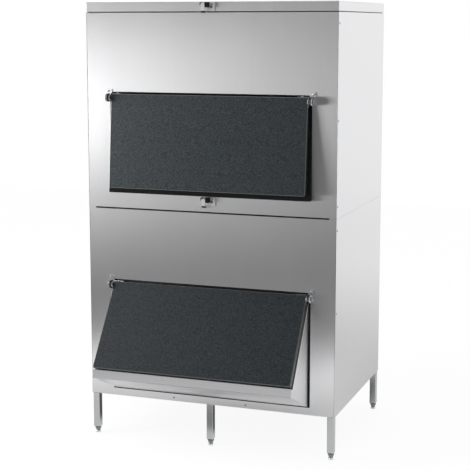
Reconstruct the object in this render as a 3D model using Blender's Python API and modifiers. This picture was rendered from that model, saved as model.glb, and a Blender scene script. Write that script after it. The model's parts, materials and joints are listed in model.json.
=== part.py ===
"""Two-door ice storage bin on legs: a lower bin, an upper extension and a lid with an ice drop.

Two insulated modules stand on each other. Each has a front opening closed by the same top-hinged door:
the upper one lies in a wedge-shaped frame, the lower one on a chute that stands out of the front.
Metres, +Z up, front towards -Y, origin on the floor under the middle of the whole.
"""

from math import acos, cos, pi, radians, sin

import bmesh
import bpy
from mathutils import Matrix, Vector

# Body
BODY_WIDTH = 1.060
BODY_DEPTH = 0.750
LEG_HEIGHT = 0.177
LOWER_HEIGHT = 0.797
UPPER_HEIGHT = 0.799
LID_HEIGHT = 0.038
WALL = 0.050
SHEET = 0.0015
LINER = 0.003
FLANGE = 0.020
GAP = 0.0003
OVERRUN = 0.010

# Joints between the modules
SEAM = 0.006
SEAM_FROM_SIDE = 0.029
LID_SEAM = 0.003
SEAL_SETBACK = 0.004

# Floor and drain
FLOOR_FRONT_RISE = 0.0565
FLOOR_FALL = 0.008
DRAIN_BORE = 0.0125
DRAIN_PIPE = 0.016
DRAIN_FLANGE = 0.026
DRAIN_FLANGE_THICKNESS = 0.004
DRAIN_NUT = 0.0225
DRAIN_NUT_HEIGHT = 0.012
DRAIN_REACH = 0.040
DRAIN_FROM_BACK = 0.110

# Doors, the same for both modules
DOOR_FROM_SIDE = 0.114
DOOR_LENGTH = 0.382
DOOR_THICKNESS = 0.024
DOOR_CORNER = 0.008
DOOR_EDGE = 0.003
PIVOT_DROP = 0.016
PIVOT_PROUD = 0.002
PIVOT_OUT = 0.0205
UPPER_PIVOT_RISE = 0.455
LOWER_PIVOT_RISE = 0.480
UPPER_TILT = radians(5.0)
LOWER_TILT = radians(35.0)
INNER_PANEL_MARGIN = 0.028
INNER_PANEL_DEPTH = 0.006
INNER_PANEL_EDGE = 0.002
DOOR_GASKET = 0.005
DOOR_GASKET_WIDTH = 0.012
DOOR_GASKET_MARGIN = 0.005
DOOR_GASKET_DROP = 0.002
MOUTH_MARGIN = 0.003

# Front cut-outs, door frame and chute
CUTOUT_BESIDE_DOOR = 0.0123
CUTOUT_ABOVE_PIVOT = 0.0225
CUTOUT_BELOW_PIVOT = 0.3875
FRAME_LIP = 0.003
FRAME_LIP_DEPTH = 0.024
CHUTE_BESIDE_DOOR = 0.004
CHUTE_ABOVE_PIVOT = 0.0155
CHUTE_SILL = 0.035
CHUTE_WALL = 0.020
BAND_HEIGHT = 0.037
BAND_WALL = 0.030
BAND_SETBACK = 0.012
LEDGE_GAP = 0.003
CHUTE_SEAL = 0.003

# Door hinges
HINGE_PLATE = 0.002
HINGE_STRIP = 0.045
HINGE_STRIP_INSET = 0.001
HINGE_STRIP_BACK = 0.003
HINGE_EAR_DROP = 0.022
HINGE_LOBE = 0.011
BRACKET_SHEET = 0.003
BRACKET_LOBE = 0.012
BRACKET_FLANGE = 0.025
BRACKET_FLANGE_SHEET = 0.002
BRACKET_RISE = 0.034
PIN_RADIUS = 0.004
CAP_RADIUS = 0.017
CAP_HEIGHT = 0.014
CAP_CHAMFER = 0.003
CAP_SLOT = 0.003
CAP_SLOT_DEPTH = 0.0025
CAP_SLOT_REACH = 0.009
SCREW_RADIUS = 0.004
SCREW_HEIGHT = 0.002
RIVET_RADIUS = 0.0035
RIVET_HEIGHT = 0.0015
RIVET_INSET = 0.012
RIVET_FROM_END = 0.044

# Hold-open catches
CATCH_WIDTH = 0.057
CATCH_PLATE = 0.0025
CATCH_ABOVE = 0.0075
CATCH_BELOW = 0.0275
CATCH_BLOCK = 0.015
CATCH_BLOCK_HEIGHT = 0.020
CATCH_EAR = 0.003
CATCH_PIVOT_OUT = 0.0155
CATCH_PIVOT_ABOVE_DOOR = 0.006
CATCH_STOP_GAP = 0.001
CATCH_SCREW = 0.0055
CATCH_SCREW_HEIGHT = 0.004
CATCH_SCREW_BESIDE_BLOCK = 0.001
CATCH_SCREW_DROP = 0.0105
CATCH_SMALL_SCREW_INSET = 0.010
HOOK_WIDTH = 0.016
HOOK_SHEET = 0.002
HOOK_EYE = 0.0038
HOOK_PIN = 0.0018
HOOK_LIP = 0.010
HOOK_CLEARANCE = 0.001

# Screws in the strip under the chute
STRIP_SCREW_RADIUS = 0.003
STRIP_SCREW_HEIGHT = 0.0015
STRIP_SCREW_FROM_MIDDLE = 0.157
STRIP_SCREW_RISE = 0.015

# Lid opening
DROP_WIDTH = 0.480
DROP_DEPTH = 0.300
DROP_FROM_BACK = 0.140

# Baffle above the lower mouth
BAFFLE_SHEET = 0.002
BAFFLE_FROM_LINER = 0.030
BAFFLE_FLANGE = 0.040
BAFFLE_RISE = 0.070
BAFFLE_REACH = 0.110
BAFFLE_DROP = 0.160

# Legs and feet
LEG_SIZE = 0.028
LEG_WALL = 0.002
LEG_INSET = 0.0025
LEG_END_PLATE = 0.004
LEG_TOP_PLATE = 0.003
LEG_TOP_REACH = 0.046
BOLT_RADIUS = 0.0065
BOLT_HEIGHT = 0.004
FOOT_HEIGHT = 0.028
FOOT_COLLAR = 0.0135
FOOT_NECK = 0.0085
FOOT_RADIUS = 0.0105
FOOT_RIM = 0.009
FOOT_CHAMFER = 0.002
FOOT_STEM = 0.005
FOOT_STEM_LENGTH = 0.042
FOOT_CLEARANCE = 0.002

# Facets round the small and the large turned pieces, and how nearly a face points along an open side
FEW_SIDES = 12
MANY_SIDES = 32
ALIGNED_SHARE = 0.99

SEAM_Z = LEG_HEIGHT + LOWER_HEIGHT
LID_Z = SEAM_Z + UPPER_HEIGHT
TOP_Z = LID_Z + LID_HEIGHT
UPPER_PIVOT_Z = SEAM_Z + UPPER_PIVOT_RISE
LOWER_PIVOT_Z = LEG_HEIGHT + LOWER_PIVOT_RISE
DOOR_REACH = DOOR_LENGTH - PIVOT_DROP
SEAL_DEPTH = PIVOT_PROUD + DOOR_THICKNESS + DOOR_GASKET + 2 * GAP
HALF_WIDTH = BODY_WIDTH / 2
DOOR_WIDTH = BODY_WIDTH - 2 * DOOR_FROM_SIDE
CUTOUT_WIDTH = DOOR_WIDTH + 2 * CUTOUT_BESIDE_DOOR
CHUTE_WIDTH = DOOR_WIDTH + 2 * CHUTE_BESIDE_DOOR
INNER_HALF_WIDTH = HALF_WIDTH - WALL
PANEL_HALF_WIDTH = HALF_WIDTH - SHEET - GAP
FOAM_HALF_WIDTH = PANEL_HALF_WIDTH - SHEET - GAP
MOUTH_HALF_WIDTH = DOOR_WIDTH / 2 - DOOR_GASKET_MARGIN - DOOR_GASKET_WIDTH - MOUTH_MARGIN
FOAM_EDGE = SHEET + GAP
FLOOR_Z = LEG_HEIGHT + FLOOR_FRONT_RISE
LINER_BASE_Z = FLOOR_Z - FLOOR_FALL - LINER

# How far the closed lower door stands out of the front, which sets the origin under the middle.
FRONT_REACH = (PIVOT_OUT + (DOOR_REACH - DOOR_EDGE) * sin(LOWER_TILT)
               - (PIVOT_PROUD + DOOR_EDGE) * cos(LOWER_TILT) + DOOR_EDGE)
FRONT_Y = (FRONT_REACH - BODY_DEPTH) / 2
BACK_Y = FRONT_Y + BODY_DEPTH
WALL_BACK = LINER + GAP - WALL

for old in list(bpy.data.objects):
    bpy.data.objects.remove(old, do_unlink=True)

PARTS = bpy.data.collections.new("ice_storage_bin")
CUTTERS = bpy.data.collections.new("cutters")
for collection in (PARTS, CUTTERS):
    bpy.context.scene.collection.children.link(collection)


def finish(name, colour, roughness, metallic):
    """A material with one even colour."""
    made = bpy.data.materials.new(name)
    made.use_nodes = True
    shader = made.node_tree.nodes["Principled BSDF"]
    shader.inputs["Base Color"].default_value = (*colour, 1)
    shader.inputs["Roughness"].default_value = roughness
    shader.inputs["Metallic"].default_value = metallic
    return made


BRUSHED = finish("brushed_steel", (0.62, 0.63, 0.64), 0.35, 1.0)
GALVANISED = finish("galvanised_steel", (0.52, 0.54, 0.56), 0.5, 1.0)
POLISHED = finish("polished_steel", (0.80, 0.80, 0.80), 0.15, 1.0)
LEG_STEEL = finish("leg_steel", (0.55, 0.56, 0.57), 0.35, 1.0)
DOOR_PLASTIC = finish("door_plastic", (0.055, 0.075, 0.075), 0.6, 0.0)
BLACK_RUBBER = finish("black_rubber", (0.015, 0.015, 0.016), 0.7, 0.0)
BLACK_PLASTIC = finish("black_plastic", (0.02, 0.02, 0.022), 0.45, 0.0)
WHITE_PLASTIC = finish("white_plastic", (0.80, 0.82, 0.82), 0.4, 0.0)
FOAM = finish("insulation_foam", (0.78, 0.68, 0.42), 0.9, 0.0)


def y_at(out):
    """World y of a point this far in front of the front panel's face."""
    return FRONT_Y - out


def put(name, mesh, material=None):
    """An object for a mesh: a part with its material, or a cutter without one."""
    made = bpy.data.objects.new(name, mesh)
    if material:
        mesh.materials.append(material)
        PARTS.objects.link(made)
    else:
        CUTTERS.objects.link(made)
        made.hide_render = True
        made.display_type = "WIRE"
    return made


def mesh_from(name, bm):
    mesh = bpy.data.meshes.new(name)
    bm.to_mesh(mesh)
    bm.free()
    return mesh


def cube(low, high):
    """A bmesh with one box between two corners."""
    bm = bmesh.new()
    low, high = Vector(low), Vector(high)
    size = Matrix.Diagonal((*(high - low), 1))
    bmesh.ops.create_cube(bm, size=1, matrix=Matrix.Translation((low + high) / 2) @ size)
    return bm


def box(name, low, high, material=None):
    return put(name, mesh_from(name, cube(low, high)), material)


def ring_low_high(half_x, front, back, z_low, z_high):
    """Corners of a box that is centred across the width."""
    return (-half_x, front, z_low), (half_x, back, z_high)


def across(sign, near, far):
    """Low and high x of something between two distances from the middle, on either side."""
    return min(sign * near, sign * far), max(sign * near, sign * far)


def pan(name, low, high, open_sides, material):
    """A folded sheet: a box without the faces on its open sides, thickened inwards."""
    bm = cube(low, high)
    bm.normal_update()
    gone = [face for face in bm.faces
            if any(face.normal.dot(Vector(side)) > ALIGNED_SHARE for side in open_sides)]
    bmesh.ops.delete(bm, geom=gone, context="FACES")
    made = put(name, mesh_from(name, bm), material)
    thick = made.modifiers.new("sheet", "SOLIDIFY")
    thick.thickness = SHEET
    thick.offset = -1
    thick.use_even_offset = True
    return made


def cylinder(name, centre, radius, height, axis="Z", sides=FEW_SIDES, material=None, tip=None):
    """A cylinder, or a cone when its far end has another radius, centred on a point along an axis."""
    turns = {"X": Matrix.Rotation(radians(90), 4, "Y"), "Y": Matrix.Rotation(radians(-90), 4, "X")}
    bm = bmesh.new()
    bmesh.ops.create_cone(
        bm, cap_ends=True, segments=sides, radius1=radius, radius2=radius if tip is None else tip,
        depth=height, matrix=Matrix.Translation(centre) @ turns.get(axis, Matrix.Identity(4)))
    return put(name, mesh_from(name, bm), material)


def extruded(name, outline, half, matrix, material=None):
    """A flat outline filled as a 2D curve, extruded both ways and placed by a matrix, as a mesh."""
    curve = bpy.data.curves.new(name, "CURVE")
    curve.dimensions = "2D"
    curve.fill_mode = "BOTH"
    curve.extrude = half
    spline = curve.splines.new("POLY")
    spline.points.add(len(outline) - 1)
    for point, (a, b) in zip(spline.points, outline):
        point.co = (a, b, 0, 1)
    spline.use_cyclic_u = True
    guide = bpy.data.objects.new(name + "_curve", curve)
    CUTTERS.objects.link(guide)
    bpy.context.view_layer.update()
    mesh = bpy.data.meshes.new_from_object(guide.evaluated_get(bpy.context.evaluated_depsgraph_get()))
    bpy.data.objects.remove(guide, do_unlink=True)
    bm = bmesh.new()
    bm.from_mesh(mesh)
    bpy.data.meshes.remove(mesh)
    bmesh.ops.remove_doubles(bm, verts=bm.verts, dist=GAP / 10)
    bmesh.ops.transform(bm, matrix=matrix, verts=bm.verts)
    bmesh.ops.recalc_face_normals(bm, faces=bm.faces)
    return put(name, mesh_from(name, bm), material)


def side_profile(name, outline, half, material=None):
    """A solid with one outline of (out, z) points across the whole width of a piece."""
    to_world = Matrix(((0, 0, -1, 0), (-1, 0, 0, FRONT_Y), (0, 1, 0, 0), (0, 0, 0, 1)))
    return extruded(name, outline, half, to_world, material)


def upright_plate(name, outline, low_x, high_x, material=None):
    """A plate that stands across the front, with an outline of (y, z) points."""
    to_world = Matrix(((0, 0, 1, (low_x + high_x) / 2), (1, 0, 0, 0), (0, 1, 0, 0), (0, 0, 0, 1)))
    return extruded(name, outline, (high_x - low_x) / 2, to_world, material)


def arc(centre, radius, start, end, count):
    """Points along an arc, both ends included."""
    turns = [start + (end - start) * i / count for i in range(count + 1)]
    return [(centre[0] + radius * cos(turn), centre[1] + radius * sin(turn)) for turn in turns]


def boolean(target, other, operation):
    """Adds a live Boolean. A solid used up by it moves to the cutters."""
    step = target.modifiers.new(operation.lower(), "BOOLEAN")
    step.operation = operation
    step.solver = "EXACT"
    step.object = other
    return target


def cut(target, *others):
    for other in others:
        boolean(target, other, "DIFFERENCE")
    return target


def join(target, *others):
    for other in others:
        boolean(target, other, "UNION")
    return target


def hang(piece, axis):
    """Parents a piece, and the solids that its Booleans use, to the axis that it turns on."""
    piece.parent = axis
    for step in piece.modifiers:
        if step.type == "BOOLEAN":
            step.object.parent = axis


def smooth(made, angle=radians(35)):
    made.data.shade_smooth()
    made.data.set_sharp_from_angle(angle=angle)
    return made


def inset(outline, distances):
    """The outline with each edge moved inwards by its own distance. Points run anticlockwise."""
    lines = []
    count = len(outline)
    for i, distance in enumerate(distances):
        start, end = Vector(outline[i]), Vector(outline[(i + 1) % count])
        along = (end - start).normalized()
        lines.append((start + Vector((-along.y, along.x)) * distance, along))
    points = []
    for i in range(count):
        (p, d), (q, e) = lines[i - 1], lines[i]
        share = ((q - p).x * e.y - (q - p).y * e.x) / (d.x * e.y - d.y * e.x)
        points.append(tuple(p + d * share))
    return points


def head(name, seat, outward, radius, height, sides=FEW_SIDES, tip=None):
    """A screw or rivet head on a sheet's face, sunk half a sheet into it, as a solid to join to the sheet."""
    outward = Vector(outward)
    axis = "XYZ"[max(range(3), key=lambda i: abs(outward[i]))]
    sunk = SHEET / 2
    centre = Vector(seat) + outward * (height - sunk) / 2
    wide, narrow = radius, radius if tip is None else tip
    if sum(outward) < 0:
        wide, narrow = narrow, wide
    return cylinder(name, centre, wide, height + sunk, axis, sides, tip=narrow)


class Hinge:
    """Where a door hangs: its pivot height and its tilt when closed, measured from upright."""

    def __init__(self, module, pivot_z, tilt):
        self.module = module
        self.pivot_z = pivot_z
        self.tilt = tilt

    def point(self, down, proud):
        """The (out, z) point this far down the closed door from its axis and this far in front of it."""
        return (PIVOT_OUT + down * sin(self.tilt) + proud * cos(self.tilt),
                self.pivot_z - down * cos(self.tilt) + proud * sin(self.tilt))

    def seal_out(self, z):
        """How far out the plane that the closed door seals on lies at a height."""
        out, seal_z = self.point(0, -SEAL_DEPTH)
        return out + (seal_z - z) * sin(self.tilt) / cos(self.tilt)

    def mouth_top(self):
        return self.point(DOOR_GASKET_DROP + DOOR_GASKET_WIDTH + MOUTH_MARGIN, -SEAL_DEPTH)[1]

    def mouth_bottom(self):
        inner = DOOR_REACH - DOOR_GASKET_MARGIN - DOOR_GASKET_WIDTH - MOUTH_MARGIN
        return self.point(inner, -SEAL_DEPTH)[1]


UPPER = Hinge("upper", UPPER_PIVOT_Z, UPPER_TILT)
LOWER = Hinge("lower", LOWER_PIVOT_Z, LOWER_TILT)
CHUTE_TOP_Z = LOWER_PIVOT_Z + CHUTE_ABOVE_PIVOT
CHUTE_BOTTOM_Z = LEG_HEIGHT + CHUTE_SILL
CUTOUT_TOPS = {"upper": UPPER_PIVOT_Z + CUTOUT_ABOVE_PIVOT, "lower": CHUTE_TOP_Z + CHUTE_SEAL + GAP}
CUTOUT_BOTTOMS = {"upper": UPPER_PIVOT_Z - CUTOUT_BELOW_PIVOT, "lower": CHUTE_BOTTOM_Z - CHUTE_SEAL - GAP}
MOUTH_BOTTOMS = {"upper": UPPER.mouth_bottom(), "lower": CHUTE_BOTTOM_Z + CHUTE_WALL}
MOUTH_TOPS = {"upper": UPPER.mouth_top(), "lower": LOWER.mouth_top()}


def front_cutter(name, half, z_low, z_high):
    """A box through the whole front wall."""
    return box(name, *ring_low_high(half, y_at(OVERRUN), y_at(-WALL - OVERRUN), z_low, z_high))


def module(name, z_low, z_high, sheet_low, sheet_high, floor_z):
    """Front, back and side panels, insulation and liner of one module. Without a floor it is a sleeve.

    Outside the folds the sheets run on at the sides, from sheet_low to sheet_high, and close the seam.
    """
    sleeve = floor_z is None
    cutout = front_cutter(name + "_cutout", CUTOUT_WIDTH / 2, CUTOUT_BOTTOMS[name], CUTOUT_TOPS[name])
    front = pan(name + "_front_panel", *ring_low_high(PANEL_HALF_WIDTH, FRONT_Y, FRONT_Y + FLANGE, z_low, z_high),
                [(0, 1, 0)], BRUSHED)
    cut(front, cutout)
    ends = (("bottom", z_low, sheet_low), ("top", z_high, sheet_high))
    rivets = [z_low + RIVET_SHARES[name] * (z_high - z_low), z_high - RIVET_FROM_END]
    if sleeve:
        rivets.append(z_low + RIVET_FROM_END)
    pan(name + "_back_panel", *ring_low_high(PANEL_HALF_WIDTH, BACK_Y - FLANGE, BACK_Y, z_low, z_high),
        [(0, -1, 0)], GALVANISED)

    for side, sign in (("left", -1), ("right", 1)):
        outer, inner = sign * HALF_WIDTH, sign * (HALF_WIDTH - SHEET)
        low_x, high_x = min(outer, inner), max(outer, inner)
        panel = box(f"{name}_{side}_panel", (low_x, FRONT_Y, sheet_low), (high_x, BACK_Y, sheet_high), BRUSHED)
        fold_low, fold_high = across(sign, HALF_WIDTH - FLANGE, HALF_WIDTH)
        tab_low, tab_high = across(sign, HALF_WIDTH - SEAM_FROM_SIDE, PANEL_HALF_WIDTH)
        for end, z, sheet_z in ends:
            inward = SHEET if end == "bottom" else -SHEET
            join(panel, box(f"{name}_{side}_{end}_fold",
                            (fold_low, FRONT_Y + FLANGE + OVERRUN, min(z, z + inward)),
                            (fold_high, BACK_Y - FLANGE - OVERRUN, max(z, z + inward))))
            if sheet_z != z:
                join(front, box(f"{name}_{side}_{end}_tab", (tab_low, FRONT_Y, min(sheet_z, z + inward)),
                                (tab_high, FRONT_Y + SHEET, max(sheet_z, z + inward))))
        for i, rivet_z in enumerate(rivets):
            seat = (outer, FRONT_Y + RIVET_INSET, rivet_z)
            join(panel, head(f"{name}_{side}_rivet_{i}", seat, (sign, 0, 0), RIVET_RADIUS, RIVET_HEIGHT,
                             tip=RIVET_RADIUS / 2))

    below_foam = FOAM_EDGE if sleeve else 2 * FOAM_EDGE
    foam = box(name + "_insulation", (-FOAM_HALF_WIDTH, FRONT_Y + FOAM_EDGE, z_low + below_foam),
               (FOAM_HALF_WIDTH, BACK_Y - FOAM_EDGE, z_high - FOAM_EDGE), FOAM)
    liner_half = INNER_HALF_WIDTH + LINER
    liner_low = z_low if sleeve else LINER_BASE_Z
    room_low = z_low - OVERRUN if sleeve else liner_low - GAP
    room = box(name + "_room", (-liner_half - GAP, y_at(-WALL) - LINER - GAP, room_low),
               (liner_half + GAP, BACK_Y - WALL + LINER + GAP, z_high + OVERRUN))
    cut(foam, room, cutout)

    liner = box(name + "_liner", (-liner_half, y_at(-WALL) - LINER, liner_low),
                (liner_half, BACK_Y - WALL + LINER, z_high), WHITE_PLASTIC)
    front_out, back_out = -WALL, FRONT_Y - BACK_Y + WALL
    front_z = z_low - OVERRUN if sleeve else floor_z
    back_z = z_low - OVERRUN if sleeve else floor_z - FLOOR_FALL
    hollow = side_profile(name + "_hollow", [(back_out, back_z), (front_out, front_z),
                                             (front_out, z_high + OVERRUN), (back_out, z_high + OVERRUN)],
                          INNER_HALF_WIDTH)
    mouth = front_cutter(name + "_mouth", MOUTH_HALF_WIDTH, MOUTH_BOTTOMS[name], MOUTH_TOPS[name])
    cut(liner, hollow, mouth)
    return front, foam, liner


# The middle rivet of each side, as a share of the height of its module.
RIVET_SHARES = {"lower": 0.53, "upper": 0.476}
LOWER_TOP_Z = SEAM_Z - SEAM / 2
UPPER_BOTTOM_Z = SEAM_Z + SEAM / 2
UPPER_TOP_Z = LID_Z - LID_SEAM

lower_front, lower_foam, lower_liner = module("lower", LEG_HEIGHT, LOWER_TOP_Z, LEG_HEIGHT, SEAM_Z - GAP / 2,
                                              FLOOR_Z)
module("upper", UPPER_BOTTOM_Z, UPPER_TOP_Z, SEAM_Z + GAP / 2, UPPER_TOP_Z, None)

for side, x in (("left", -STRIP_SCREW_FROM_MIDDLE), ("right", STRIP_SCREW_FROM_MIDDLE)):
    join(lower_front, head(f"strip_screw_{side}", (x, FRONT_Y, LEG_HEIGHT + STRIP_SCREW_RISE), (0, -1, 0),
                           STRIP_SCREW_RADIUS, STRIP_SCREW_HEIGHT))


def seal(name, z_low, z_high):
    """A flat gasket round the top of a module, set back from the faces."""
    ring = box(name, (SEAL_SETBACK - HALF_WIDTH, FRONT_Y + SEAL_SETBACK, z_low + GAP),
               (HALF_WIDTH - SEAL_SETBACK, BACK_Y - SEAL_SETBACK, z_high - GAP), BLACK_RUBBER)
    inside = box(name + "_inside", (-INNER_HALF_WIDTH, y_at(-WALL), z_low),
                 (INNER_HALF_WIDTH, BACK_Y - WALL, z_high))
    return cut(ring, inside)


seal("module_seal", LOWER_TOP_Z, UPPER_BOTTOM_Z)
seal("lid_seal", UPPER_TOP_Z, LID_Z)


def lid():
    """The top cover with the hole that ice drops through, its insulation and the ceiling under it."""
    drop_back = BACK_Y - DROP_FROM_BACK
    drop_front = drop_back - DROP_DEPTH
    half = DROP_WIDTH / 2

    def drop(name, wider, z_low, z_high, material=None):
        return box(name, (-half - wider, drop_front - wider, z_low),
                   (half + wider, drop_back + wider, z_high), material)

    cover = pan("lid_cover", (-HALF_WIDTH, FRONT_Y, LID_Z), (HALF_WIDTH, BACK_Y, TOP_Z), [(0, 0, -1)], BRUSHED)
    collar = drop("drop_collar", SHEET, LID_Z, TOP_Z)
    opening = drop("drop_opening", 0, LID_Z - OVERRUN, TOP_Z + OVERRUN)
    cut(join(cover, collar), opening)

    round_collar = drop("drop_clearance", FOAM_EDGE, LID_Z - OVERRUN, TOP_Z + OVERRUN)
    edge = HALF_WIDTH - FOAM_EDGE
    ceiling_top = LID_Z + LINER
    foam = box("lid_insulation", (-edge, FRONT_Y + FOAM_EDGE, ceiling_top + GAP),
               (edge, BACK_Y - FOAM_EDGE, TOP_Z - FOAM_EDGE), FOAM)
    ceiling = box("ceiling_panel", (-edge, FRONT_Y + FOAM_EDGE, LID_Z), (edge, BACK_Y - FOAM_EDGE, ceiling_top),
                  WHITE_PLASTIC)
    cut(foam, round_collar)
    cut(ceiling, round_collar)


lid()


def base():
    """The bottom sheet, which lies on the folds of the panels round it, and the drain through it."""
    low_z = LEG_HEIGHT + FOAM_EDGE
    sheet = box("base_panel", (-FOAM_HALF_WIDTH, FRONT_Y + FOAM_EDGE, low_z),
                (FOAM_HALF_WIDTH, BACK_Y - FOAM_EDGE, low_z + SHEET), GALVANISED)
    drain_y = BACK_Y - DRAIN_FROM_BACK
    low = LEG_HEIGHT - DRAIN_REACH
    floor_at_drain = LINER_BASE_Z - GAP
    pipe = cylinder("drain_fitting", (0, drain_y, (low + floor_at_drain) / 2), DRAIN_PIPE,
                    floor_at_drain - low, sides=MANY_SIDES, material=BLACK_PLASTIC)
    flange = cylinder("drain_flange", (0, drain_y, floor_at_drain - DRAIN_FLANGE_THICKNESS / 2), DRAIN_FLANGE,
                      DRAIN_FLANGE_THICKNESS, sides=MANY_SIDES)
    nut = cylinder("drain_nut", (0, drain_y, LEG_HEIGHT - GAP - DRAIN_NUT_HEIGHT / 2), DRAIN_NUT,
                   DRAIN_NUT_HEIGHT, sides=FEW_SIDES // 2)
    bore = cylinder("drain_bore", (0, drain_y, low), DRAIN_BORE, 2 * (FLOOR_Z + OVERRUN - low),
                    sides=MANY_SIDES)
    cut(join(pipe, flange, nut), bore)
    smooth(pipe)
    clear_pipe = cylinder("drain_pipe_clearance", (0, drain_y, low), DRAIN_PIPE + GAP,
                          2 * (floor_at_drain - low), sides=MANY_SIDES)
    clear_flange = cylinder("drain_flange_clearance", (0, drain_y, floor_at_drain), DRAIN_FLANGE + GAP,
                            2 * (DRAIN_FLANGE_THICKNESS + GAP), sides=MANY_SIDES)
    cut(sheet, clear_pipe)
    cut(lower_foam, clear_pipe, clear_flange)
    cut(lower_liner, bore)


base()


def upper_frame():
    """The wedge-shaped frame that the upper door closes on, with a thin lip at the panel's edge."""
    z_low, z_high = CUTOUT_BOTTOMS["upper"] + GAP, CUTOUT_TOPS["upper"] - GAP
    half = CUTOUT_WIDTH / 2 - GAP
    wedge = side_profile("upper_door_frame", [(WALL_BACK, z_low), (UPPER.seal_out(z_low), z_low),
                                              (UPPER.seal_out(z_high), z_high), (WALL_BACK, z_high)],
                         half, BLACK_RUBBER)
    lip = box("frame_lip", *ring_low_high(half, FRONT_Y, FRONT_Y + FRAME_LIP_DEPTH, z_low, z_high))
    reveal = side_profile("frame_reveal", [(UPPER.seal_out(z_low), z_low + FRAME_LIP),
                                           (UPPER.seal_out(z_low) + OVERRUN, z_low + FRAME_LIP),
                                           (OVERRUN, z_high - FRAME_LIP),
                                           (UPPER.seal_out(z_high - FRAME_LIP), z_high - FRAME_LIP)],
                          half - FRAME_LIP)
    mouth = front_cutter("frame_mouth", MOUTH_HALF_WIDTH, MOUTH_BOTTOMS["upper"], MOUTH_TOPS["upper"])
    cut(join(wedge, lip), reveal, mouth)


upper_frame()


def chute():
    """The chute in front of the lower mouth: a folded outer sheet, insulation and a moulded lining."""
    top = CHUTE_TOP_Z
    ledge = DOOR_REACH + LEDGE_GAP
    band_out, band_top = LOWER.point(ledge, -BAND_SETBACK)
    band_low = band_top - BAND_HEIGHT
    outline = [(WALL_BACK, CHUTE_BOTTOM_Z), (0, CHUTE_BOTTOM_Z), (band_out, band_low), (band_out, band_top),
               LOWER.point(ledge, -SEAL_DEPTH), (LOWER.seal_out(top), top), (WALL_BACK, top)]
    throat = [(WALL_BACK, CHUTE_BOTTOM_Z), (0, CHUTE_BOTTOM_Z), (band_out, band_low),
              (band_out, LOWER.mouth_top()), (WALL_BACK, LOWER.mouth_top())]
    half = CHUTE_WIDTH / 2

    def hollow(name, wider, material=None):
        """The way through the chute, or the same with a wall round it."""
        walls = (CHUTE_WALL - wider, CHUTE_WALL - wider, BAND_WALL - wider, -wider, -OVERRUN)
        return side_profile(name, inset(throat, walls), MOUTH_HALF_WIDTH + wider, material)

    shell = side_profile("chute_shell", outline, half, BRUSHED)
    inside = side_profile("chute_inside", inset(outline, (SHEET,) * 6 + (-OVERRUN,)), half - SHEET)
    cut(shell, inside, hollow("chute_rim_hole", LINER + GAP))

    foam_walls = (FOAM_EDGE,) * 6 + (0,)
    foam = side_profile("chute_insulation", inset(outline, foam_walls), half - FOAM_EDGE, FOAM)
    cut(foam, hollow("chute_lining_clearance", LINER + GAP))

    lining = hollow("chute_lining", LINER, WHITE_PLASTIC)
    boolean(lining, side_profile("chute_outline", outline, half), "INTERSECT")
    cut(lining, hollow("chute_throat", 0))

    z_low, z_high = CUTOUT_BOTTOMS["lower"] + GAP, CUTOUT_TOPS["lower"] - GAP
    ring = box("chute_seal", *ring_low_high(CUTOUT_WIDTH / 2 - GAP, FRONT_Y, y_at(WALL_BACK), z_low, z_high),
               BLACK_RUBBER)
    middle = box("chute_seal_middle", *ring_low_high(half + GAP, y_at(OVERRUN), y_at(-WALL - OVERRUN),
                                                     CHUTE_BOTTOM_Z - GAP, top + GAP))
    cut(ring, middle)


chute()


def baffle():
    """A bent plate inside, above the lower mouth, that holds the ice back when the door opens."""
    top = MOUTH_TOPS["lower"] + BAFFLE_RISE
    bend = top - BAFFLE_FLANGE
    face = -WALL - GAP
    side_profile("ice_baffle", [(face, top), (face - BAFFLE_SHEET, top), (face - BAFFLE_SHEET, bend),
                                (face - BAFFLE_SHEET - BAFFLE_REACH, bend - BAFFLE_DROP),
                                (face - BAFFLE_REACH, bend - BAFFLE_DROP), (face, bend)],
                 INNER_HALF_WIDTH - BAFFLE_FROM_LINER, BRUSHED)


baffle()


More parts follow.
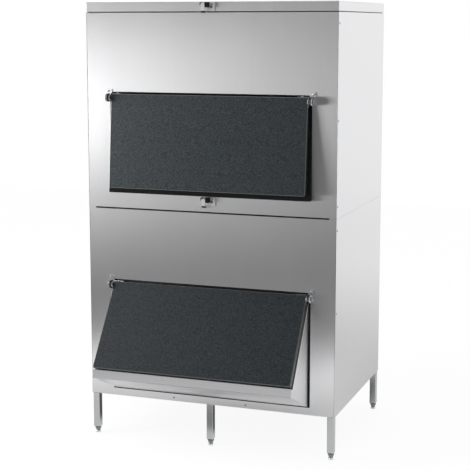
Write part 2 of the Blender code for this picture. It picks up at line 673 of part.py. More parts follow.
def door(hinge):
    """One door with its inner panel, gasket, hinge plates and pins, all built round its axis."""
    name = hinge.module + "_door"
    axis = bpy.data.objects.new(name + "_axis", None)
    axis.location = (0, y_at(PIVOT_OUT), hinge.pivot_z)
    axis.rotation_euler.x = -hinge.tilt
    PARTS.objects.link(axis)
    half = DOOR_WIDTH / 2
    face, back = PIVOT_PROUD, PIVOT_PROUD + DOOR_THICKNESS

    shell = box(name + "_shell", (-half, face, -DOOR_REACH), (half, back, PIVOT_DROP), DOOR_PLASTIC)
    bm = bmesh.new()
    bm.from_mesh(shell.data)
    corners = [edge for edge in bm.edges if abs((edge.verts[0].co - edge.verts[1].co).y) > DOOR_THICKNESS / 2]
    bmesh.ops.bevel(bm, geom=corners, offset=DOOR_CORNER, segments=4, profile=0.5, affect="EDGES")
    rim = [edge for edge in bm.edges if all(abs(vert.co.y - face) < GAP for vert in edge.verts)]
    bmesh.ops.bevel(bm, geom=rim, offset=DOOR_EDGE, segments=3, profile=0.5, affect="EDGES")
    bm.to_mesh(shell.data)
    bm.free()
    smooth(shell)
    margin = INNER_PANEL_MARGIN
    panel_low = (margin - half, back - INNER_PANEL_DEPTH, margin - DOOR_REACH)
    panel_high = (half - margin, back + OVERRUN, PIVOT_DROP - margin)
    cut(shell, box(name + "_recess", panel_low, panel_high))

    inner = box(name + "_inner_panel", [c + GAP for c in panel_low],
                (panel_high[0] - GAP, back, panel_high[2] - GAP), WHITE_PLASTIC)
    soft = inner.modifiers.new("edge", "BEVEL")
    soft.width = INNER_PANEL_EDGE
    soft.segments = 2

    outer = DOOR_GASKET_MARGIN
    gasket_front, gasket_back = back + GAP, back + GAP + DOOR_GASKET
    low_z = outer - DOOR_REACH
    gasket = box(name + "_gasket", (outer - half, gasket_front, low_z),
                 (half - outer, gasket_back, -DOOR_GASKET_DROP), BLACK_RUBBER)
    width = DOOR_GASKET_WIDTH
    cut(gasket, box(name + "_gasket_inside", (outer + width - half, back, low_z + width),
                    (half - outer - width, gasket_back + OVERRUN, -DOOR_GASKET_DROP - width)))

    pieces = [shell, inner, gasket]
    for side, sign in (("left", -1), ("right", 1)):
        pieces.append(hinge_plate(f"{name}_hinge_{side}", sign))
        pieces.append(hinge_pin(f"{name}_pin_{side}", sign))
        hinge_bracket(f"{name}_bracket_{side}", sign, hinge.pivot_z)
    for piece in pieces:
        hang(piece, axis)


def hinge_plate(name, sign):
    """The plate over a door's top corner, with an ear down its end that holds the pin."""
    end = DOOR_WIDTH / 2 + GAP
    low_x, high_x = across(sign, end, end + HINGE_PLATE)
    strip_low, strip_high = across(sign, end + HINGE_PLATE - HINGE_STRIP, end + HINGE_PLATE)
    front = PIVOT_PROUD + HINGE_STRIP_INSET
    back = PIVOT_PROUD + DOOR_THICKNESS - HINGE_STRIP_BACK
    top = PIVOT_DROP + GAP
    meets = acos(front / HINGE_LOBE)
    lobe = arc((0, 0), HINGE_LOBE, meets, 2 * pi - meets, MANY_SIDES // 2)
    outline = [(back, -HINGE_EAR_DROP), (back, top + HINGE_PLATE), (front, top + HINGE_PLATE), *lobe,
               (front, -HINGE_EAR_DROP)]
    ear = upright_plate(name, outline, low_x, high_x, POLISHED)
    middle = sign * (end + HINGE_PLATE / 2)
    strip = box(name + "_strip", (strip_low, front, top), (strip_high, back, top + HINGE_PLATE))
    seat = (sign * (end + HINGE_PLATE - HINGE_STRIP + CAP_RADIUS), (front + back) / 2, top + HINGE_PLATE)
    screw = head(name + "_screw", seat, (0, 0, 1), SCREW_RADIUS, SCREW_HEIGHT)
    hole = cylinder(name + "_hole", (middle, 0, 0), PIN_RADIUS + GAP, OVERRUN, "X", MANY_SIDES)
    return cut(join(ear, strip, screw), hole)


def hinge_pin(name, sign):
    """A round cap with a cross in its face, on a short shank through the bracket and the door's ear."""
    plate = DOOR_WIDTH / 2 + GAP
    cap_start = plate + HINGE_PLATE + GAP + BRACKET_SHEET + GAP
    cap_end = cap_start + CAP_HEIGHT
    cap = cylinder(name, (sign * (cap_start + cap_end) / 2, 0, 0), CAP_RADIUS, CAP_HEIGHT, "X", MANY_SIDES, POLISHED)
    bm = bmesh.new()
    bm.from_mesh(cap.data)
    rim = [edge for edge in bm.edges if all(abs(vert.co.x - sign * cap_end) < GAP for vert in edge.verts)]
    bmesh.ops.bevel(bm, geom=rim, offset=CAP_CHAMFER, segments=2, profile=0.5, affect="EDGES")
    bm.to_mesh(cap.data)
    bm.free()
    shank_end = cap_start + CAP_HEIGHT / 2
    shank = cylinder(name + "_shank", (sign * (plate + shank_end) / 2, 0, 0), PIN_RADIUS, shank_end - plate, "X",
                     MANY_SIDES)
    join(cap, shank)
    low_x, high_x = across(sign, cap_end - CAP_SLOT_DEPTH, cap_end + OVERRUN)
    for i, (half_y, half_z) in enumerate(((CAP_SLOT / 2, CAP_SLOT_REACH), (CAP_SLOT_REACH, CAP_SLOT / 2))):
        cut(cap, box(f"{name}_slot_{i}", (low_x, -half_y, -half_z), (high_x, half_y, half_z)))
    return smooth(cap)


def hinge_bracket(name, sign, pivot_z):
    """The fixed angle bracket on the front panel that carries a hinge pin."""
    near = DOOR_WIDTH / 2 + HINGE_PLATE + 2 * GAP
    far = near + BRACKET_SHEET
    low_x, high_x = across(sign, near, far)
    pivot_y = y_at(PIVOT_OUT)
    back = FRONT_Y - GAP
    lobe = arc((pivot_y, pivot_z), BRACKET_LOBE, pi / 2, pi * 3 / 2, MANY_SIDES // 2)
    outline = [(back, pivot_z - BRACKET_LOBE), (back, pivot_z + BRACKET_LOBE), *lobe]
    ear = upright_plate(name, outline, low_x, high_x, POLISHED)
    middle = sign * (near + far) / 2
    flange_low, flange_high = across(sign, near, near + BRACKET_FLANGE)
    flange = box(name + "_flange", (flange_low, back - BRACKET_FLANGE_SHEET, pivot_z - BRACKET_LOBE),
                 (flange_high, back, pivot_z + BRACKET_RISE))
    seat = (sign * (near + BRACKET_FLANGE * 2 / 3), back - BRACKET_FLANGE_SHEET,
            pivot_z + BRACKET_RISE - 2 * SCREW_RADIUS)
    screw = head(name + "_screw", seat, (0, -1, 0), SCREW_RADIUS, SCREW_HEIGHT)
    hole = cylinder(name + "_hole", (middle, pivot_y, pivot_z), PIN_RADIUS + GAP, OVERRUN, "X", MANY_SIDES)
    return cut(join(ear, flange, screw), hole)


door(UPPER)
door(LOWER)


def catch(hinge):
    """A hold-open catch: a screwed base with two ears and a hook that drops over the raised door's edge."""
    name = hinge.module + "_catch"
    pivot_z = hinge.pivot_z + DOOR_REACH + CATCH_PIVOT_ABOVE_DOOR
    pivot_y = y_at(CATCH_PIVOT_OUT)
    back = FRONT_Y - GAP
    half = CATCH_WIDTH / 2
    block_front = y_at(PIVOT_OUT + PIVOT_PROUD - CATCH_STOP_GAP)
    base_plate = box(name + "_base", (-half, back - CATCH_PLATE, pivot_z - CATCH_BELOW),
                     (half, back, pivot_z + CATCH_ABOVE), BLACK_PLASTIC)
    block = box(name + "_block", (-CATCH_BLOCK / 2, block_front, pivot_z + CATCH_ABOVE - CATCH_BLOCK_HEIGHT),
                (CATCH_BLOCK / 2, back, pivot_z + CATCH_ABOVE))
    hook_high = -CATCH_BLOCK / 2 - HOOK_CLEARANCE
    hook_low = hook_high - HOOK_WIDTH
    ear_high = hook_low - HOOK_CLEARANCE
    ear_bottom = pivot_z - HOOK_EYE
    ear = box(name + "_ear", (ear_high - CATCH_EAR, pivot_y - HOOK_EYE, ear_bottom),
              (ear_high, back, pivot_z + CATCH_ABOVE))
    screw_x = CATCH_BLOCK / 2 + CATCH_SCREW_BESIDE_BLOCK + CATCH_SCREW
    screw = head(name + "_screw", (screw_x, back - CATCH_PLATE, pivot_z - CATCH_SCREW_DROP), (0, -1, 0),
                 CATCH_SCREW, CATCH_SCREW_HEIGHT, MANY_SIDES)
    small = head(name + "_small_screw", (half - CATCH_SMALL_SCREW_INSET, back - CATCH_PLATE, pivot_z),
                 (0, -1, 0), SCREW_RADIUS, SCREW_HEIGHT)
    pin_end = -CATCH_BLOCK / 2 + CATCH_BLOCK / 3
    pin_start = ear_high - CATCH_EAR
    hole_low, hole_high = pin_start - OVERRUN, pin_end + GAP
    hole = cylinder(name + "_pin_hole", ((hole_low + hole_high) / 2, pivot_y, pivot_z), HOOK_PIN + GAP,
                    hole_high - hole_low, "X")
    cut(join(base_plate, block, ear, screw, small), hole)

    door_back = PIVOT_OUT + PIVOT_PROUD + DOOR_THICKNESS + HOOK_CLEARANCE
    arm = door_back - CATCH_PIVOT_OUT
    axis = bpy.data.objects.new(name + "_axis", None)
    axis.location = (0, pivot_y, pivot_z)
    PARTS.objects.link(axis)
    hook = box(name + "_hook", (hook_low, -HOOK_SHEET / 2, -arm - HOOK_SHEET), (hook_high, HOOK_SHEET / 2, 0),
               POLISHED)
    lip = box(name + "_hook_lip", (hook_low, -HOOK_SHEET / 2, -arm - HOOK_SHEET), (hook_high, HOOK_LIP, -arm))
    eye = cylinder(name + "_hook_eye", ((hook_low + hook_high) / 2, 0, 0), HOOK_EYE, HOOK_WIDTH, "X")
    pin = cylinder(name + "_hook_pin", ((pin_start + pin_end) / 2, 0, 0), HOOK_PIN, pin_end - pin_start, "X")
    hang(join(hook, lip, eye, pin), axis)


catch(UPPER)
catch(LOWER)


def leg(name, x, y, inward):
    """A square tube with a plate across its top, bolted up under the base, and a threaded end plate."""
    half = LEG_SIZE / 2
    top = LEG_HEIGHT - GAP
    tube = box(name, (x - half, y - half, FOOT_HEIGHT), (x + half, y + half, top), LEG_STEEL)
    bore = half - LEG_WALL
    outer_y, inner_y = y - inward * half, y + inward * (half + LEG_TOP_REACH)
    plate = box(name + "_plate", (x - half, min(outer_y, inner_y), top - LEG_TOP_PLATE),
                (x + half, max(outer_y, inner_y), top))
    hollow = box(name + "_hollow", (x - bore, y - bore, FOOT_HEIGHT + LEG_END_PLATE),
                 (x + bore, y + bore, top + OVERRUN))
    bolt_y = y + inward * (half + LEG_TOP_REACH / 2)
    bolt = head(name + "_bolt", (x, bolt_y, top - LEG_TOP_PLATE), (0, 0, -1), BOLT_RADIUS, BOLT_HEIGHT,
                FEW_SIDES // 2)
    thread = cylinder(name + "_thread", (x, y, FOOT_HEIGHT), FOOT_STEM + GAP, 2 * OVERRUN, sides=MANY_SIDES)
    cut(join(tube, plate, bolt), hollow, thread)


def foot(name, x, y):
    """A levelling foot: a collar that tapers to a turned base, on a stem that screws into the leg."""
    top = FOOT_HEIGHT - FOOT_CLEARANCE
    profile = [(0, top + FOOT_STEM_LENGTH), (FOOT_STEM, top + FOOT_STEM_LENGTH), (FOOT_STEM, top),
               (FOOT_COLLAR - FOOT_CHAMFER, top), (FOOT_COLLAR, top - FOOT_CHAMFER),
               (FOOT_NECK, FOOT_RIM + FOOT_CHAMFER), (FOOT_RADIUS, FOOT_RIM), (FOOT_RADIUS, FOOT_CHAMFER),
               (FOOT_RADIUS - FOOT_CHAMFER, 0), (0, 0)]
    bm = bmesh.new()
    verts = [bm.verts.new((r, 0, z)) for r, z in profile]
    for first, second in zip(verts, verts[1:]):
        bm.edges.new((first, second))
    made = put(name, mesh_from(name, bm), POLISHED)
    made.location = (x, y, 0)
    turn = made.modifiers.new("turn", "SCREW")
    turn.angle = radians(360)
    turn.steps = turn.render_steps = MANY_SIDES
    turn.use_merge_vertices = True
    turn.merge_threshold = GAP / 10
    turn.use_smooth_shade = True
    return made


LEG_SIDE = HALF_WIDTH - LEG_INSET - LEG_SIZE / 2
LEG_FRONT_Y = FRONT_Y + LEG_INSET + LEG_SIZE / 2
LEG_BACK_Y = BACK_Y - LEG_INSET - LEG_SIZE / 2
for row, leg_y, inward in (("front", LEG_FRONT_Y, 1), ("rear", LEG_BACK_Y, -1)):
    for place, leg_x in (("left", -LEG_SIDE), ("middle", 0), ("right", LEG_SIDE)):
        leg(f"{row}_{place}_leg", leg_x, leg_y, inward)
        foot(f"{row}_{place}_foot", leg_x, leg_y)
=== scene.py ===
# %% [markdown]
# # An ice storage bin, from its solids to its portrait
#
# The bin is two insulated steel boxes, one on top of the other, with a plastic door in the front of
# each and a flat lid that an ice machine can stand on. Its solids come ready made as a frame: every
# piece is already at its place, and what should move rides on a body that moves. This script adds
# what a camera sees at close range: round folds, broken edges, turned caps and real finishes.

# %% Load the frame
import json
from math import cos, radians, sin

import bmesh
import bpy
from mathutils import Matrix, Vector


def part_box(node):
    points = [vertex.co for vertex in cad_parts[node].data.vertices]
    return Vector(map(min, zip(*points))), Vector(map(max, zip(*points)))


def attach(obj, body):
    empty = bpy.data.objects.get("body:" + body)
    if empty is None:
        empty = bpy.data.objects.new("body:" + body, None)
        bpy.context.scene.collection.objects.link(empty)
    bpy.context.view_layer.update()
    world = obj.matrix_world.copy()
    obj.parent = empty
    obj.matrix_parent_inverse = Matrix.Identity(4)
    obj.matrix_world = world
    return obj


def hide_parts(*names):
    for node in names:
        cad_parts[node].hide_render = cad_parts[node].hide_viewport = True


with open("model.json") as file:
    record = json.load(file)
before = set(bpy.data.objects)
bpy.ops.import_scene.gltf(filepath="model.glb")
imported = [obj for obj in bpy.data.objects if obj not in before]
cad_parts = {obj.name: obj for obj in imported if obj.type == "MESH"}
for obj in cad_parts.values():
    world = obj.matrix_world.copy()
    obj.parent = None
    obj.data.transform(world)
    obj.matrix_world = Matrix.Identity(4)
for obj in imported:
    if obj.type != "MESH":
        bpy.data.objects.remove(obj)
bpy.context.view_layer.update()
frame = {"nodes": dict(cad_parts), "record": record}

NODES = frame["nodes"]
BODIES = frame["record"]["behaviour"]["bodies"]
BODY_OF = {node: body for body, nodes in BODIES.items() for node in nodes}
SLOT_OF = {name: node.data.materials[0].name for name, node in NODES.items()}
MODULES = ("upper", "lower")
SIDES = {"left": -1, "right": 1}

# %% [markdown]
# ## The camera
#
# A long lens from the right of the front, a little below the top of the bin. Its place follows from
# the corners of the body in the picture. The bin stands slightly high in the frame, which is done by
# moving the picture plane up or down behind the lens, so the camera doesn't have to tilt for it.

# %% Place the camera
CAMERA_PLACE = (1.7828, -4.9252, 1.7185)
CAMERA_AZIMUTH = radians(19.708)
CAMERA_PITCH = radians(8.315)
SENSOR_WIDTH, FOCAL_LENGTH = 36, 96.32
PICTURE_SHIFT = -0.055
SIGHT_END = 100

bpy.ops.object.select_all(action="DESELECT")
bpy.ops.object.camera_add(location=CAMERA_PLACE)
camera = bpy.context.object
camera.name = "portrait_camera"
backwards = Vector((sin(CAMERA_AZIMUTH) * cos(CAMERA_PITCH),
                    -cos(CAMERA_AZIMUTH) * cos(CAMERA_PITCH),
                    sin(CAMERA_PITCH)))
camera.rotation_euler = backwards.to_track_quat("Z", "Y").to_euler()
camera.data.sensor_width = SENSOR_WIDTH
camera.data.lens = FOCAL_LENGTH
camera.data.shift_y = PICTURE_SHIFT
camera.data.clip_end = SIGHT_END
bpy.context.scene.camera = camera
print("lens", camera.data.lens, "mm")

# %% [markdown]
# ## Writing materials as sums
#
# A finish is a graph of shader nodes. Wiring it by hand is slow to write and slow to read, so a small
# class stands for one socket, and arithmetic on it adds the Math nodes. Every other node comes from
# one method, which sets the node's own settings first and its sockets after them.

# %% A socket that can be calculated with
NOISE_MIDDLE = 0.5


class Wire:
    """A value that varies over a surface. Sums and products of numbers add Math nodes."""

    def __init__(self, graph, socket):
        self.graph = graph
        self.socket = socket

    def math(self, operation, *values):
        return self.graph.add("Math", {"operation": operation}, dict(enumerate(values)))

    def __abs__(self):
        return self.math("ABSOLUTE", self)

    def __add__(self, other):
        return self.math("ADD", self, other)

    def __sub__(self, other):
        return self.math("SUBTRACT", self, other)

    def __rsub__(self, other):
        return self.math("SUBTRACT", other, self)

    def __mul__(self, other):
        return self.math("MULTIPLY", self, other)

    __radd__ = __add__
    __rmul__ = __mul__

    def larger(self, other):
        """The larger of two values, so that one mask or tone lies over another."""
        return self.math("MAXIMUM", self, other)

    def swing(self, amount):
        """Turns noise round 0.5 into a swing round zero."""
        return (self - NOISE_MIDDLE) * amount

    def step(self, start, end):
        """0 below the start, 1 above the end, with a smooth rise between them."""
        return self.graph.add("MapRange", {"interpolation_type": "SMOOTHSTEP"},
                              {"Value": self, "From Min": start, "From Max": end})

    def fade(self, start, end):
        """1 below the start, 0 above the end."""
        return 1.0 - self.step(start, end)

    def band(self, rise, fall):
        """1 between two soft edges, each given by its start and its end."""
        return self.step(*rise) * self.fade(*fall)


# %% A graph of shader nodes
# A Mix node has a set of sockets for each type of value. These belong to colours.
MIX_FACTOR, MIX_FIRST, MIX_SECOND, MIX_RESULT = 0, 6, 7, 2


class Graph:
    """The node tree of a material or of the world."""

    def __init__(self, owner):
        owner.use_nodes = True
        self.tree = owner.node_tree

    def add(self, kind, settings=None, sockets=None, output=0):
        """Adds a node, sets it up, feeds its sockets and gives back the output or outputs named."""
        node = self.tree.nodes.new("ShaderNode" + kind)
        for name, value in (settings or {}).items():
            setattr(node, name, value)
        for name, value in (sockets or {}).items():
            self.feed(node.inputs[name], value)
        if isinstance(output, tuple):
            return [Wire(self, node.outputs[name]) for name in output]
        return Wire(self, node.outputs[output])

    def feed(self, socket, value):
        if isinstance(value, Wire):
            self.tree.links.new(value.socket, socket)
        else:
            socket.default_value = value

    def mix(self, factor, first, second):
        """A colour between two colours."""
        return self.add("Mix", {"data_type": "RGBA"},
                        {MIX_FACTOR: factor, MIX_FIRST: first, MIX_SECOND: second}, MIX_RESULT)

    def noise(self, scale, detail=2.0, stretch=(1, 1, 1)):
        """Soft random values round 0.5 over the object, longer along a direction with a small scale."""
        place = self.add("TexCoord", output="Object")
        place = self.add("Mapping", sockets={"Vector": place, "Scale": stretch})
        return self.add("TexNoise", sockets={"Vector": place, "Scale": scale, "Detail": detail})

    def bump(self, height, distance):
        return self.add("Bump", sockets={"Height": height, "Distance": distance})

    def grey(self, tone):
        """A colour whose three channels are one tone."""
        return self.add("CombineColor", sockets={0: tone, 1: tone, 2: tone})


# %% A finish for a piece
class Finish(Graph):
    """A material whose even values are set on the shader and whose uneven ones are wires."""

    def __init__(self, name, **even):
        self.material = bpy.data.materials.new(name)
        super().__init__(self.material)
        self.shader = self.tree.nodes["Principled BSDF"]
        self.vary(**even)

    def vary(self, **wires):
        for socket, wire in wires.items():
            self.feed(self.shader.inputs[socket.replace("_", " ")], wire)


# %% [markdown]
# ## Steel
#
# The panels are stainless sheet with a brushed finish. Brushing leaves fine upright lines, so a
# reflection smears across them and stays sharp along them: that is what the anisotropic value does.
# On top of it come faint streaks in the tone and a slight unevenness of the sheet. A picture of
# brushed sheet would do too, but noise that is stretched along the lines has no seams or repeats.

# %% Brushed sheet
UPRIGHT_LINES, LEVEL_LINES = (1, 1, 0.02), (0.02, 1, 1)
STREAK_SCALE, STREAK_DETAIL, STREAK_SHARE = 240, 3.0, 0.6
CLOUD_SCALE = 3.0
TONE_SPREAD, STREAK_SWING, CLOUD_SWING = 0.03, 0.05, 0.03
SHEET_WAVE = 0.0002


def colour(tone, share=1.0):
    """A colour for a socket: three numbers, made darker or lighter by a share, and its opacity."""
    return (*(channel * share for channel in tone), 1)


def brushed_steel(name, tone, roughness, anisotropy, stretch=UPRIGHT_LINES):
    steel = Finish(name, Metallic=1.0, Anisotropic=anisotropy)
    streaks = steel.noise(STREAK_SCALE, STREAK_DETAIL, stretch)
    clouds = steel.noise(CLOUD_SCALE)
    shade = streaks * STREAK_SHARE + clouds * (1 - STREAK_SHARE)
    steel.vary(Base_Color=steel.mix(shade, colour(tone, 1 - TONE_SPREAD), colour(tone, 1 + TONE_SPREAD)),
               Roughness=streaks.swing(STREAK_SWING) + clouds.swing(CLOUD_SWING) + roughness,
               Normal=steel.bump(clouds, SHEET_WAVE))
    return steel.material


PANEL_STEEL = brushed_steel("brushed_panel_steel", (0.81, 0.81, 0.82), 0.34, 0.85)
# The fold steel and the lip steel below are a painted dark reflection, for a few faces only.
FOLD_PAINTED_REFLECTION = brushed_steel("fold_steel_painted_reflection", (0.15, 0.15, 0.16), 0.34, 0.5)
CHUTE_STEEL = brushed_steel("cross_brushed_chute_steel", (0.93, 0.93, 0.94), 0.34, 0.5, LEVEL_LINES)
LIP_PAINTED_REFLECTION = brushed_steel("shaded_lip_steel", (0.52, 0.52, 0.53), 0.34, 0.5, LEVEL_LINES)
LEG_STEEL = brushed_steel("satin_leg_steel", (0.62, 0.63, 0.64), 0.22, 0.4)
print("five brushed steels")

# %% [markdown]
# Galvanised sheet shows zinc crystals, each a patch of one tone with its own gloss. Cells of a Voronoi
# pattern are such patches, which noise alone can't give. Turned and polished parts only carry the
# faint marks of handling, so a little noise in their gloss is enough.

# %% Zinc and polish
CRYSTAL_SCALE, CRYSTAL_SHARE, CRYSTAL_RELIEF = 70.0, 0.7, 0.00002
DARK_ZINC, LIGHT_ZINC = (0.40, 0.42, 0.44), (0.60, 0.62, 0.65)
ZINC_ROUGHNESS, CRYSTAL_SWING, DULLED_PATCH = 0.36, 0.16, 6.0
UPRIGHT_MARKS = (1, 1, 0.3)
MARK_SCALE, SMUDGE_SCALE = 300, 40
MARK_SWING, SMUDGE_SWING, SMUDGED = 0.08, 0.06, 0.95


def galvanised_steel():
    zinc = Finish("galvanised_sheet", Metallic=1.0)
    place = zinc.add("TexCoord", output="Object")
    patch = zinc.add("TexVoronoi", sockets={"Vector": place, "Scale": CRYSTAL_SCALE}, output="Color")
    tone = zinc.add("SeparateColor", sockets={0: patch})
    shade = tone * CRYSTAL_SHARE + zinc.noise(DULLED_PATCH) * (1 - CRYSTAL_SHARE)
    zinc.vary(Base_Color=zinc.mix(shade, colour(DARK_ZINC), colour(LIGHT_ZINC)),
              Roughness=tone * CRYSTAL_SWING + ZINC_ROUGHNESS,
              Normal=zinc.bump(tone, CRYSTAL_RELIEF))
    return zinc.material


def polished_steel(name, tone, roughness, metallic=1.0):
    polish = Finish(name, Metallic=metallic)
    marks = polish.noise(MARK_SCALE, stretch=UPRIGHT_MARKS)
    smudges = polish.noise(SMUDGE_SCALE)
    polish.vary(Base_Color=polish.mix(smudges, colour(tone, SMUDGED), colour(tone)),
                Roughness=marks * MARK_SWING + smudges * SMUDGE_SWING + roughness)
    return polish.material


ZINC = galvanised_steel()
POLISH = polished_steel("polished_fittings", (0.86, 0.86, 0.87), 0.14)
CHROME = polished_steel("bright_chrome", (0.88, 0.88, 0.89), 0.03)
HOOK_ZINC = polished_steel("bright_hook_zinc", (0.95, 0.95, 0.96), 0.28, 0.5)
# A near-black painted shade, on the hook's bend and right edge and at the caps' bases.
NEAR_BLACK_SHADE = polished_steel("near_black_painted_shade", (0.03, 0.03, 0.035), 0.35, 0.5)
FOOT_STEEL = polished_steel("foot_steel", (0.62, 0.62, 0.63), 0.22)
# A dark steel tone on the rivets, the catches' large screws and the feet's collars, and a painted shade
# on the caps' sides and crosses.
DARK_STEEL_AND_SHADE = polished_steel("dark_steel_and_painted_shade", (0.30, 0.31, 0.33), 0.30)
print("one galvanised and six polished finishes")

# %% [markdown]
# ## Plastics and rubber
#
# The doors are moulded in a dark blue-grey plastic with a fine leathery grain. The grain is far
# smaller than the doors, so it is a bump rather than geometry, with the same pattern in the tone,
# since worn peaks look lighter. Larger groups of lumps keep the grain in sight from further away.
# Rubber is duller and has a fine powdery surface. The liners are smooth white plastic.

# %% Plastics
GROUP_SIZE = 0.45
LUMP_CONTRAST, GROUP_CONTRAST, LUMP_SWING = 1.2, 2.2, 0.12


def grained(name, dark, light, roughness, grain, depth, **even):
    """A plastic or rubber with a moulded grain of so many lumps in a metre."""
    body = Finish(name, **even)
    lumps = body.noise(grain, 3.0)
    groups = body.noise(grain * GROUP_SIZE, 1.0)
    shade = lumps.swing(LUMP_CONTRAST) + groups.swing(GROUP_CONTRAST) + NOISE_MIDDLE
    body.vary(Base_Color=body.mix(shade, colour(dark), colour(light)),
              Roughness=lumps.swing(LUMP_SWING) + roughness,
              Normal=body.bump(lumps, depth))
    return body.material


DOOR_PLASTIC = grained("grained_door_plastic", (0.002, 0.005, 0.007), (0.034, 0.048, 0.055),
                       0.48, 420, 0.0003)
DOOR_EDGE = grained("smooth_door_edge", (0.030, 0.036, 0.036), (0.040, 0.048, 0.048),
                    0.24, 420, 0.00003)
# The rim is smoother than the field, and its lighter tone is a painted highlight.
DOOR_RIM_HIGHLIGHT = grained("door_rim_gloss_and_painted_highlight", (0.09, 0.10, 0.095), (0.13, 0.14, 0.135), 0.20, 420, 0.00003)
RUBBER = grained("black_rubber", (0.004, 0.004, 0.005), (0.012, 0.012, 0.013), 0.70, 700, 0.0001,
                 Specular_IOR_Level=0.25)
BLACK_PLASTIC = grained("black_plastic", (0.012, 0.012, 0.013), (0.024, 0.024, 0.026),
                        0.40, 900, 0.00005)
WHITE_PLASTIC = grained("white_liner_plastic", (0.79, 0.81, 0.81), (0.82, 0.84, 0.84),
                        0.35, 120, 0.00008)
FOAM = grained("insulation_foam", (0.66, 0.55, 0.30), (0.82, 0.72, 0.46), 0.90, 260, 0.0008)
print("five plastics, rubber and foam")

# %% [markdown]
# ## Dressing the solids
#
# Each solid carries a slot that says what it is made of. One table from slot to finish therefore
# dresses them all, also the ones that nobody sees, such as the foam, since the bin can be opened.

# %% Dress every solid
FINISH_OF = {"brushed_steel": PANEL_STEEL, "galvanised_steel": ZINC, "polished_steel": POLISH,
             "leg_steel": LEG_STEEL, "foot_steel": FOOT_STEEL, "door_plastic": DOOR_PLASTIC,
             "black_rubber": RUBBER, "black_plastic": BLACK_PLASTIC, "white_plastic": WHITE_PLASTIC,
             "insulation_foam": FOAM}
for name, node in NODES.items():
    for slot in node.material_slots:
        slot.material = FINISH_OF[SLOT_OF[name]]
print("dressed", len(NODES), "solids in", len(FINISH_OF), "finishes")

# %% [markdown]
# ## Working by hand, in code
#
# What follows uses Blender's own modelling tools. They act on whatever is selected, so each step
# starts with a clean selection and then picks faces or edges by where they are.

# %% Select, edit and pick
def only(piece):
    """Leaves one object selected and active."""
    bpy.ops.object.select_all(action="DESELECT")
    piece.select_set(True)
    bpy.context.view_layer.objects.active = piece


def edit(piece):
    only(piece)
    bpy.ops.object.mode_set(mode="EDIT")


def done():
    bpy.ops.object.mode_set(mode="OBJECT")


def pick(kind, test):
    """In edit mode, selects the edges or faces that pass a test, and counts them."""
    mesh = bpy.context.edit_object.data
    bpy.ops.mesh.select_mode(type=kind)
    bpy.ops.mesh.select_all(action="DESELECT")
    bm = bmesh.from_edit_mesh(mesh)
    chosen = [item for item in {"EDGE": bm.edges, "FACE": bm.faces}[kind] if test(item)]
    for item in chosen:
        item.select_set(True)
    bmesh.update_edit_mesh(mesh)
    return len(chosen)


# %% [markdown]
# ## Folds and broken edges
#
# A solid from a CAD model has knife edges. Sheet has none: a fold has a radius of about two
# thicknesses, and a cut edge is broken so that it doesn't hurt the hand. Each visible piece is
# therefore a copy of its solid. The copy's loose triangles are merged into whole faces, the folds
# are rounded wide and all other edges slightly. A fold is an outward edge between two wide faces.

# %% Copy a solid and round its edges
FOLD_RADIUS, FOLD_STEPS = 0.0025, 4
BROKEN_EDGE, EDGE_STEPS = 0.0004, 2
WIDE_FACE = 0.0035
CORNER_ANGLE, FLAT_ANGLE = radians(40), radians(0.5)
SAME_PLACE = 0.00001
ROUND = 0.5
MOST_WEIGHT = 100


def corner(edge):
    return len(edge.link_faces) == 2 and edge.calc_face_angle() > CORNER_ANGLE


def outward(edge):
    return corner(edge) and edge.is_convex


def width(face):
    """The face's area over its longest side: for a strip, how wide it is."""
    return face.calc_area() / max(edge.calc_length() for edge in face.edges)


def fold(edge):
    return outward(edge) and min(width(face) for face in edge.link_faces) > WIDE_FACE


def whole_copy(node, name):
    """A copy of a solid with its triangles merged into whole faces."""
    piece = bpy.data.objects.new(name, NODES[node].data.copy())
    bpy.context.scene.collection.objects.link(piece)
    edit(piece)
    bpy.ops.mesh.customdata_custom_splitnormals_clear()
    bpy.ops.mesh.select_all(action="SELECT")
    bpy.ops.mesh.remove_doubles(threshold=SAME_PLACE)
    bpy.ops.mesh.dissolve_limited(angle_limit=FLAT_ANGLE)
    bpy.ops.mesh.vert_connect_concave()
    done()
    return piece


def round_off(piece, test, radius, steps, clamp=False):
    """Rounds the edges that pass a test."""
    edit(piece)
    if pick("EDGE", test):
        bpy.ops.mesh.bevel(offset=radius, segments=steps, profile=ROUND, affect="EDGES",
                           clamp_overlap=clamp)
    done()


def apply_all(piece):
    only(piece)
    for step in list(piece.modifiers):
        bpy.ops.object.modifier_apply(modifier=step.name)


def even_shading(piece):
    """Shades smoothly, but lets the large flat faces set the normals, so that they stay flat."""
    only(piece)
    bpy.ops.object.shade_smooth_by_angle(angle=CORNER_ANGLE)
    weighted = piece.modifiers.new("flat_faces_win", "WEIGHTED_NORMAL")
    weighted.keep_sharp = True
    weighted.weight = MOST_WEIGHT
    apply_all(piece)


# %% [markdown]
# ## A piece in place of a solid
#
# A dressed piece takes over from the solid that it shows: it rides on the same body, so it moves with
# it, it takes the finish of the solid's slot unless it has its own, and the solid is hidden. The panels,
# the lid and the inner sheets all go through the same hands, with a wider fold at the edges of the two
# fronts.

# %% Refine the sheets
FRONT_FOLD_RADIUS = 0.0040


def dress(piece, finish, *others):
    """Gives a piece one finish all over, and others on the faces that pass their tests."""
    piece.data.materials.clear()
    piece.data.materials.append(finish)
    for place, (other, test) in enumerate(others, 1):
        piece.data.materials.append(other)
        for face in piece.data.polygons:
            if test(face):
                face.material_index = place


def stand_in(piece, node, finish=None):
    """The piece takes over a solid's body and, unless it has its own, the finish of its slot, and hides
    the solid.
    """
    dress(piece, finish or FINISH_OF[SLOT_OF[node]])
    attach(piece, BODY_OF[node])
    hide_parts(node)


